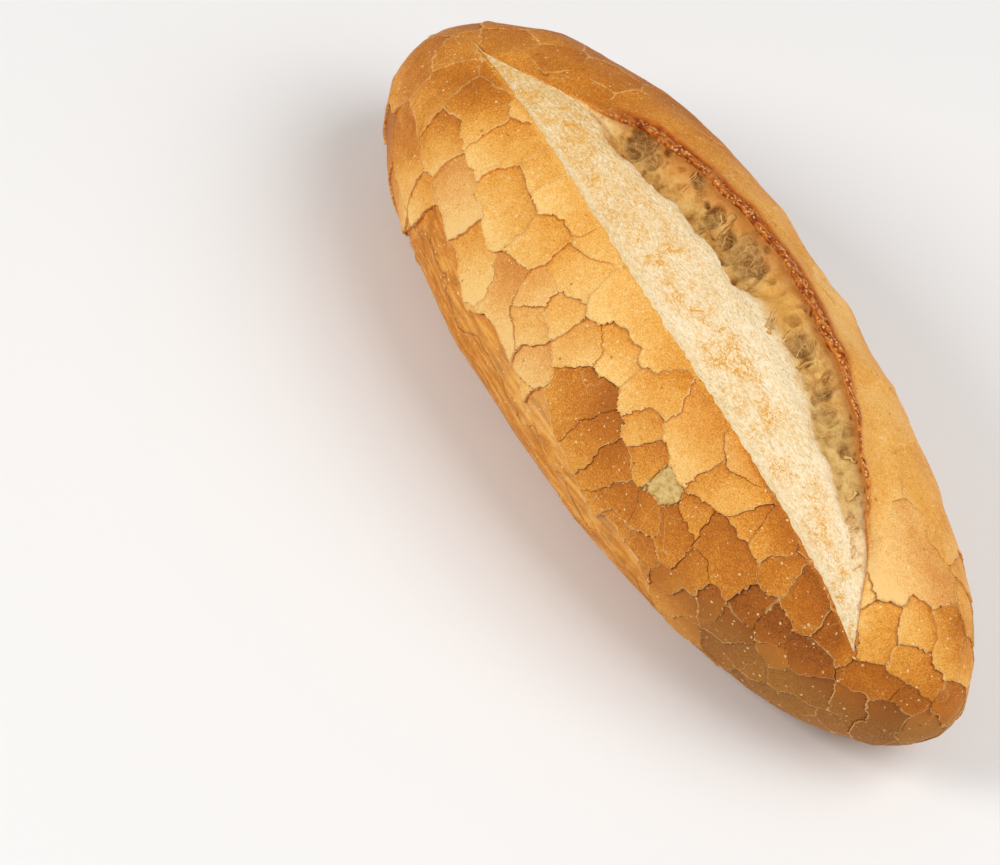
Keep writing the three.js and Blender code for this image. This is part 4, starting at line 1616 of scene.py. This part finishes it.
def paint(red: int, green: int, blue: int) -> tuple[float, float, float, float]:
    """Linear colour of a screen colour from 0 to 255."""
    screen = np.array([red, green, blue]) / 255.0
    linear = np.where(screen <= 0.04045, screen / 12.92, ((screen + 0.055) / 1.055) ** 2.4)
    return (*map(float, linear), 1.0)


class Grain(Enum):
    """Where the shared fine grain is used, with its size per metre."""

    CRUST = 3000.0
    CRUMB = 2400.0


def grain_group() -> bpy.types.NodeTree:
    """Fine baked grain shared by all finishes: a mottle and a height."""
    group = bpy.data.node_groups.new("baked_grain", "ShaderNodeTree")
    for name, way in (("Scale", "INPUT"), ("Mottle", "OUTPUT"), ("Height", "OUTPUT")):
        group.interface.new_socket(name, in_out=way, socket_type="NodeSocketFloat")
    hand = Nodes(group)
    scale = hand.add("NodeGroupInput").outputs["Scale"]
    place = hand.place()
    fine = hand.wave(place, scale, 3.0).outputs["Fac"]
    coarse = hand.wave(place, hand.times(scale, 0.22), 3.0).outputs["Fac"]
    mottle = hand.math("ADD", hand.remap(fine, 0.3, 0.7, 0.0, 0.8),
                       hand.remap(coarse, 0.3, 0.7, 0.0, 0.2))
    hand.feed(hand.add("NodeGroupOutput"), Mottle=mottle, Height=fine)
    return group


@dataclass(frozen=True)
class Finish:
    """What every finish has: a new material with its Principled shader."""

    name: str
    roughness: float
    specular: float

    def start(self) -> tuple[bpy.types.Material, Nodes, Node]:
        """Make the material and return it with its wiring hand and shader."""
        material = bpy.data.materials.new(self.name)
        material.use_nodes = True
        shader = material.node_tree.nodes["Principled BSDF"]
        shader.inputs["Roughness"].default_value = self.roughness
        shader.inputs["Specular IOR Level"].default_value = self.specular
        return material, Nodes(material.node_tree), shader

    def grain(self, hand: Nodes, kind: Grain) -> Node:
        """Place the shared grain group in this material."""
        group = bpy.data.node_groups.get("baked_grain") or grain_group()
        return hand.feed(hand.add("ShaderNodeGroup", node_tree=group), Scale=kind.value)

    def bump(self, hand: Nodes, shader: Node, height: object, strength: float,
             distance: float) -> None:
        """Feed the shader's normal with a bump of that height."""
        node = hand.feed(hand.add("ShaderNodeBump"), Strength=strength, Distance=distance,
                         Height=height)
        hand.link(node.outputs["Normal"], shader.inputs["Normal"])


@dataclass(frozen=True)
class CrustFinish(Finish):
    """Golden baked crust, browner on lifted plates, pale in breaks.

    The ramps run from little baked to much, and the shades lie over them.
    """

    name: str = "baked_crust"
    roughness: float = 0.6
    specular: float = 0.16
    golden: tuple[Stop, ...] = (
        (0.0, 250, 208, 130), (0.14, 245, 188, 102), (0.34, 236, 168, 72), (0.56, 216, 138, 46),
        (0.76, 190, 110, 30), (0.9, 160, 88, 26), (1.0, 126, 66, 20))
    rosy: tuple[Stop, ...] = (
        (0.0, 248, 202, 128), (0.14, 240, 184, 106), (0.38, 226, 154, 78), (0.74, 198, 120, 52),
        (1.0, 160, 88, 36))
    torn_side: tuple[Stop, ...] = ((0.36, 164, 82, 16), (0.5, 204, 120, 30), (0.64, 240, 172, 76))
    # Painted shade, olive brown, for the near end's underside.
    painted_underside_shade: tuple[Stop, ...] = ((0.38, 116, 74, 26), (0.62, 184, 136, 64))
    bare: tuple[Stop, ...] = ((0.35, 188, 156, 84), (0.6, 232, 206, 140))
    fringe: tuple[Stop, ...] = ((0.38, 128, 50, 8), (0.5, 184, 92, 22), (0.62, 222, 144, 62))
    unbaked: float = -0.47
    pale_hair: Rgb = (250, 204, 130)
    pale_border: Rgb = (250, 204, 132)
    # Pale torn rim of a raised plate, partly a painted highlight.
    torn_rim_and_highlight: Rgb = (248, 202, 134)
    blister: Rgb = (255, 224, 164)
    pinhole: Rgb = (120, 60, 14)
    # Painted shadow on a lower plate beside a higher one.
    painted_step_shadow: Rgb = (150, 76, 16)
    # Painted shade for the bottoms of open cracks.
    crack_shade: Rgb = (104, 52, 14)
    raw: Rgb = (190, 146, 78)
    glow: Rgb = (206, 128, 50)
    ember: Rgb = (190, 90, 12)
    granule: Rgb = (246, 192, 122)
    groove: Rgb = (118, 44, 8)

    def material(self) -> bpy.types.Material:
        """Build the crust's material."""
        material, hand, shader = self.start()
        place = hand.place()
        grain = self.grain(hand, Grain.CRUST)
        cloud = hand.noise(place, 60.0, 6.0, 0.66)
        colour = self.baked(hand, place, grain, cloud)
        colour, raised = self.blisters(hand, place, colour)
        colour = self.breaks(hand, place, colour)
        colour = self.torn_edge(hand, place, colour)
        hand.link(colour, shader.inputs["Base Color"])
        hand.link(hand.remap(cloud, 0.3, 0.7, 0.5, 0.66), shader.inputs["Roughness"])
        height = hand.total(hand.times(raised, 0.6), (grain.outputs["Height"], 0.45),
                            (hand.noise(place, 480.0, 4.0), 0.8))
        self.bump(hand, shader, height, 0.5, 0.00035)
        return material

    def baked(self, hand: Nodes, place: Socket, grain: Node, cloud: Socket) -> Socket:
        """Browning from the mesh's values, clouded, mottled and streaked, with painted light and
        shade along each plate's tilt, and painted shade, olive brown, on the near end's underside.
        """
        tone, mottle = hand.value("tone"), grain.outputs["Mottle"]
        pores = hand.remap(hand.noise(place, 1300.0, 3.0, 0.7), 0.56, 0.7)
        # The last term paints light and shade along each plate's tilt, paler where it rises.
        toast = hand.total(hand.math("ADD", hand.value("toast"), self.unbaked),
                           (cloud, 0.64), (mottle, 0.42), (pores, 0.16),
                           (hand.math("MAXIMUM", tone, -0.25), 0.32), (hand.value("tilt_shade"), -0.23))
        toast = hand.math("MINIMUM", toast, hand.math("MULTIPLY_ADD", toast, 0.5, 0.36))
        colour = hand.ramp(toast, self.golden)
        pink = hand.remap(tone, -0.2, -0.8)
        colour = hand.coat(colour, hand.ramp(toast, self.rosy), pink, 0.85)
        streak = hand.noise(hand.place(0.2), 600.0, 5.0, 0.6)
        side = hand.ramp(streak, self.torn_side)
        colour = hand.coat(colour, side, hand.value("side"), 0.65)
        # Painted shade over the near end's underside and low towards the base.
        painted_underside_shade = hand.ramp(hand.total(hand.times(cloud, 0.5), (mottle, 0.5)), self.painted_underside_shade)
        return hand.coat(colour, painted_underside_shade, hand.value("shade"), 0.55)

    def blisters(self, hand: Nodes, place: Socket, colour: Socket) -> tuple[Socket, Socket]:
        """Small pale blisters of uneven size, and a few dark pinholes."""
        spot = hand.spots(hand.shaken(place, 2500.0, 0.0006), 660.0)
        radius = hand.math("MULTIPLY_ADD", hand.math("POWER", hand.draws(spot), 3.0), 0.14, 0.1)
        raised = hand.remap(hand.math("DIVIDE", spot.outputs["Distance"], radius), 1.2, 0.6)
        raised = hand.times(raised, hand.remap(hand.noise(place, 120.0, 3.0), 0.3, 0.46))
        colour = hand.coat(colour, self.blister, raised, 0.78)
        hole = hand.remap(hand.spots(place, 170.0).outputs["Distance"], 0.075, 0.04)
        return hand.coat(colour, self.pinhole, hole, 0.55), raised

    def breaks(self, hand: Nodes, place: Socket, colour: Socket) -> Socket:
        """Hairlines, shut borders, pale raised rims that are partly a painted highlight, painted
        shadow beside raised plates, bare places and painted shade in the cracks.
        """
        hair = hand.walls(hand.shaken(place, 160.0, 0.0035), 95.0, 0.018, 0.004)
        broken = hand.remap(hand.noise(place, 42.0, 2.0), 0.5, 0.6)
        colour = hand.coat(colour, self.pale_hair, hair, broken, 0.2)
        shut = hand.times(hand.remap(hand.value("edge"), 0.34, 0.06),
                          hand.remap(hand.value("open"), 0.6, 0.1),
                          hand.remap(hand.noise(place, 75.0, 2.0), 0.36, 0.5))
        colour = hand.coat(colour, self.pale_border, shut, 0.45)
        # Painted shadow on a plate that lies below its neighbour.
        colour = hand.coat(colour, self.painted_step_shadow, hand.value("under"), 0.4)
        # Pale torn rim on a raised plate's edge, partly a painted highlight.
        rim_and_highlight = hand.remap(hand.value("over"), 0.5, 1.0)
        colour = hand.coat(colour, self.torn_rim_and_highlight, rim_and_highlight, 0.55)
        fibre = hand.ramp(hand.noise(place, 700.0, 4.0, 0.6), self.bare)
        colour = hand.coat(colour, fibre, hand.value("bare"), 0.85)
        # Painted shade in the bottoms of open cracks.
        return hand.coat(colour, self.crack_shade, hand.remap(hand.value("crack_shade"), 0.4, 0.95))

    def torn_edge(self, hand: Nodes, place: Socket, colour: Socket) -> Socket:
        """Crumb colour inside the cut, a red-brown band beside it, granules on its lip."""
        colour = hand.coat(colour, self.raw, hand.value("raw"))
        colour = hand.coat(colour, self.glow, hand.value("glow"))
        uneven = hand.remap(hand.noise(place, 300.0, 4.0), 0.2, 0.6, 0.55, 1.0)
        colour = hand.coat(colour, self.ember, hand.value("ember"), uneven)
        fringe = hand.ramp(hand.noise(place, 650.0, 4.0, 0.65), self.fringe)
        grains = hand.spots(place, 1150.0)
        granule = hand.remap(grains.outputs["Distance"], 0.5, 0.3)
        chosen = hand.remap(hand.draws(grains), 0.4, 0.56)
        fringe = hand.coat(fringe, self.granule, granule, chosen, 0.8)
        colour = hand.coat(colour, fringe, hand.value("lip"))
        uneven = hand.remap(hand.noise(place, 500.0, 3.0), 0.3, 0.6)
        return hand.coat(colour, self.groove, hand.value("groove"), uneven, 0.75)


@dataclass(frozen=True)
class CrumbFinish(Finish):
    """Cream fibrous bloom with toasted marks, and olive torn crumb.

    A fibre has its scale, its slant and its shade, a vein its scale and width.
    """

    name: str = "torn_crumb"
    roughness: float = 0.75
    specular: float = 0.12
    far_bloom: tuple[Stop, ...] = (
        (0.4, 212, 164, 90), (0.5, 236, 192, 118), (0.62, 248, 216, 156))
    near_bloom: tuple[Stop, ...] = (
        (0.4, 236, 204, 146), (0.5, 252, 226, 178), (0.62, 255, 240, 210))
    fibres: tuple[tuple[float, float, Rgb], ...] = (
        (520.0, 0.5, (255, 244, 216)), (640.0, -0.4, (208, 166, 100)),
        (900.0, 0.2, (255, 246, 222)))
    veins: tuple[tuple[float, float], ...] = ((190.0, 0.016), (360.0, 0.02), (620.0, 0.02))
    seam: Rgb = (228, 200, 146)
    toasted: Rgb = (244, 190, 104)
    vein: Rgb = (226, 156, 24)
    tear: tuple[Stop, ...] = ((0.4, 194, 142, 68), (0.5, 226, 178, 100), (0.62, 242, 206, 132))
    olive: tuple[Stop, ...] = ((0.4, 186, 148, 80), (0.56, 224, 188, 118))
    # Painted shade for the torn wall's hollows.
    hollow: tuple[Stop, ...] = ((0.42, 140, 96, 42), (0.52, 186, 142, 80))
    ochre: Rgb = (224, 160, 68)
    under_lip: Rgb = (216, 136, 54)
    pit: Rgb = (140, 92, 38)
    # Painted shade for the small holes of torn crumb.
    cell_wall: Rgb = (244, 206, 140)

    def material(self) -> bpy.types.Material:
        """Build the crumb's material."""
        material, hand, shader = self.start()
        grain = self.grain(hand, Grain.CRUMB)
        place = hand.place()
        thread = hand.noise(hand.place(0.6, 0.3), 1700.0, 5.0, 0.7)
        web = self.web(hand, place)
        colour = hand.coat(self.bloom(hand, place, thread), self.torn(hand, web, place, thread),
                           hand.value("torn"))
        hand.link(colour, shader.inputs["Base Color"])
        height = hand.total(thread, (grain.outputs["Height"], 0.6), (web, 0.5))
        self.bump(hand, shader, height, 0.5, 0.0004)
        return material

    def web(self, hand: Nodes, place: Socket) -> Socket:
        """Thin walls between the torn cells, most where the wall is hollow."""
        moved = hand.shaken(place, 500.0, 0.0022)
        lines = hand.math("MAXIMUM", hand.walls(moved, 420.0, 0.07, 0.01),
                          hand.times(hand.walls(moved, 900.0, 0.1, 0.0), 0.6))
        share = hand.total(0.35, (hand.value("hollow"), 0.65))
        return hand.times(lines, share, hand.value("torn"))

    def bloom(self, hand: Nodes, place: Socket, thread: Socket) -> Socket:
        """Cream cotton, tan at the far end, with orange squiggles on its left part."""
        cotton = hand.total(hand.times(thread, 0.75), (hand.noise(place, 110.0, 4.0), 0.25))
        colour = hand.blend(hand.remap(hand.value("along"), -0.07, 0.03),
                            hand.ramp(cotton, self.far_bloom), hand.ramp(cotton, self.near_bloom))
        for scale, slant, shade in self.fibres:
            fibre = hand.noise(hand.place(0.3, slant), scale, 2.0, 0.5, 1.5)
            colour = hand.coat(colour, shade, hand.line(fibre, 0.5, 0.028, 0.004), 0.65)
        position = hand.value("place")
        colour = hand.coat(colour, self.seam, hand.remap(position, 0.14, 0.02), 0.35)
        patchy = hand.times(hand.remap(position, 0.06, 0.2), hand.remap(position, 0.95, 0.5),
                            hand.remap(hand.noise(place, 130.0, 4.0, 0.6), 0.42, 0.58))
        colour = hand.coat(colour, self.toasted, patchy, 0.22)
        for scale, width in self.veins:
            vein = hand.line(hand.noise(place, scale, 3.0, 0.6, 0.5), 0.52, width, width * 0.4)
            colour = hand.coat(colour, self.vein, vein, patchy, 0.8)
        return colour

    def torn(self, hand: Nodes, web: Socket, place: Socket, thread: Socket) -> Socket:
        """Olive torn crumb: painted shade, grey-brown in the hollows and dark in the small holes,
        ochre on sheets, orange by the lip.
        """
        mixed = hand.total(hand.times(thread, 0.35), (hand.noise(place, 330.0, 5.0, 0.65), 0.65))
        tint = hand.value("tint")
        colour = hand.ramp(mixed, self.tear)
        colour = hand.coat(colour, self.ochre, hand.remap(tint, 0.05, 0.9), 0.7)
        pale = hand.ramp(mixed, self.olive)
        colour = hand.coat(colour, pale, hand.remap(tint, -0.05, -0.9), 0.8)
        near_lip = hand.remap(hand.value("place"), 2.3, 2.9)
        colour = hand.coat(colour, self.under_lip, near_lip, 0.75)
        # Painted shade, grey-brown, deepest where the hollows are deepest.
        shadow = hand.ramp(mixed, self.hollow)
        colour = hand.coat(colour, shadow, hand.value("hollow"), 0.75)
        # Painted shade in the small holes.
        colour = hand.coat(colour, self.pit, hand.value("pit"), 0.45)
        return hand.coat(colour, self.cell_wall, web, 0.5)


@dataclass(frozen=True)
class StrandFinish(Finish):
    """Pale, slightly glossy threads of crumb."""

    name: str = "crumb_threads"
    roughness: float = 0.55
    specular: float = 0.25
    pale: tuple[Stop, ...] = ((0.35, 206, 152, 74), (0.65, 238, 202, 132))

    def material(self) -> bpy.types.Material:
        """Build the threads' material."""
        material, hand, shader = self.start()
        grain = self.grain(hand, Grain.CRUMB)
        colour = hand.ramp(hand.noise(hand.place(), 160.0, 3.0), self.pale)
        hand.link(colour, shader.inputs["Base Color"])
        self.bump(hand, shader, grain.outputs["Height"], 0.3, 0.0002)
        return material


# -------------------------------------------------------------------- stage


class Lamp(NamedTuple):
    """A square soft light; its way runs along the camera's right, up and back."""

    name: str
    way: tuple[float, float, float]
    size: float
    power: float
    colour: tuple[float, float, float]


def stand(name: str, data: bpy.types.ID, axes: Array, place: Array) -> bpy.types.Object:
    """Put an object with its axes, as columns, at a place in metres."""
    matrix = np.eye(4)
    matrix[:3, :3], matrix[:3, 3] = axes, place
    placed = put(name, data)
    placed.matrix_world = Matrix(matrix.tolist())
    return placed


@dataclass(frozen=True)
class Studio:
    """Camera, floor and soft lights."""

    view: View
    shift: float
    sensor: float = 36.0
    floor_size: float = 6.0
    floor_drop: float = 0.0002
    floor_grey: float = 0.9
    light_distance: float = 1.3
    surroundings: float = 0.3
    lamps: tuple[Lamp, ...] = (
        Lamp("key", (-0.7, 0.35, 0.7), 0.5, 8.2, (1.0, 0.98, 0.95)),
        Lamp("fill", (0.75, 0.3, 0.75), 1.0, 11.0, (1.0, 0.98, 0.96)))

    def camera(self) -> None:
        """Stand the camera so that the loaf fills the picture as photographed."""
        data = bpy.data.cameras.new("camera")
        data.sensor_width = self.sensor
        data.lens = self.sensor * self.view.distance / self.view.field_width
        place = (self.view.place() - np.array([0, self.shift, 0])) * MM
        axes = np.stack(self.view.axes(), axis=1)
        bpy.context.scene.camera = stand("camera", data, axes, place)

    def light(self, lamp: Lamp) -> None:
        """Hang a light so that it faces the loaf."""
        to_light = unit(np.stack(self.view.axes(), axis=1) @ np.array(lamp.way))
        data = bpy.data.lights.new(lamp.name, "AREA")
        data.size, data.energy, data.color = lamp.size, lamp.power, lamp.colour
        side = unit(np.cross(np.array([0.0, 1.0, 0.0]), to_light))
        axes = np.stack([side, np.cross(to_light, side), to_light], axis=1)
        stand(lamp.name, data, axes, to_light * self.light_distance)

    def floor(self) -> None:
        """Lay the pale floor."""
        half = self.floor_size / 2
        mesh = bpy.data.meshes.new("floor")
        corners = [(-half, -half, 0), (half, -half, 0), (half, half, 0), (-half, half, 0)]
        mesh.from_pydata(corners, [], [(0, 1, 2, 3)])
        material, _, shader = Finish("pale_floor", roughness=0.8, specular=0.5).start()
        shader.inputs["Base Color"].default_value = (*[self.floor_grey] * 3, 1.0)
        mesh.materials.append(material)
        floor = put("floor", mesh)
        floor.location.z = -self.floor_drop

    def build(self) -> None:
        """Set up camera, lights, surroundings and floor."""
        self.camera()
        for lamp in self.lamps:
            self.light(lamp)
        world = bpy.data.worlds.new("surroundings")
        world.use_nodes = True
        background = world.node_tree.nodes["Background"]
        background.inputs["Color"].default_value = (1.0, 1.0, 1.0, 1)
        background.inputs["Strength"].default_value = self.surroundings
        bpy.context.scene.world = world
        bpy.context.scene.view_settings.view_transform = "Standard"
        self.floor()


# --------------------------------------------------------------------- loaf


def dress(piece: bpy.types.Object, material: bpy.types.Material) -> None:
    """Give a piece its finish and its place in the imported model."""
    piece.data.materials.append(material)
    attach(piece, ROOT)
    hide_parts(NODE)
    LOG.info("%s: %d triangles", piece.name, len(piece.data.polygons))


def main() -> None:
    """Load the frame, build and dress the loaf, and set the stage."""
    logging.basicConfig(level=logging.INFO, format="%(message)s")
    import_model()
    body = LoafBody()
    cut = Cut(body)
    view = View()
    shift = body.middle()
    Studio(view, shift).build()
    crust = Crust(body, cut, Crackle(body, view)).build()
    dress(crust.to_object("crust", shift), CrustFinish().material())
    crumb = Crumb(body, cut, view)
    dress(crumb.build().to_object("crumb", shift), CrumbFinish().material())
    dress(TearStrands(crumb).build().to_object("tear_strands", shift), StrandFinish().material())


if __name__ == "__main__":
    main()
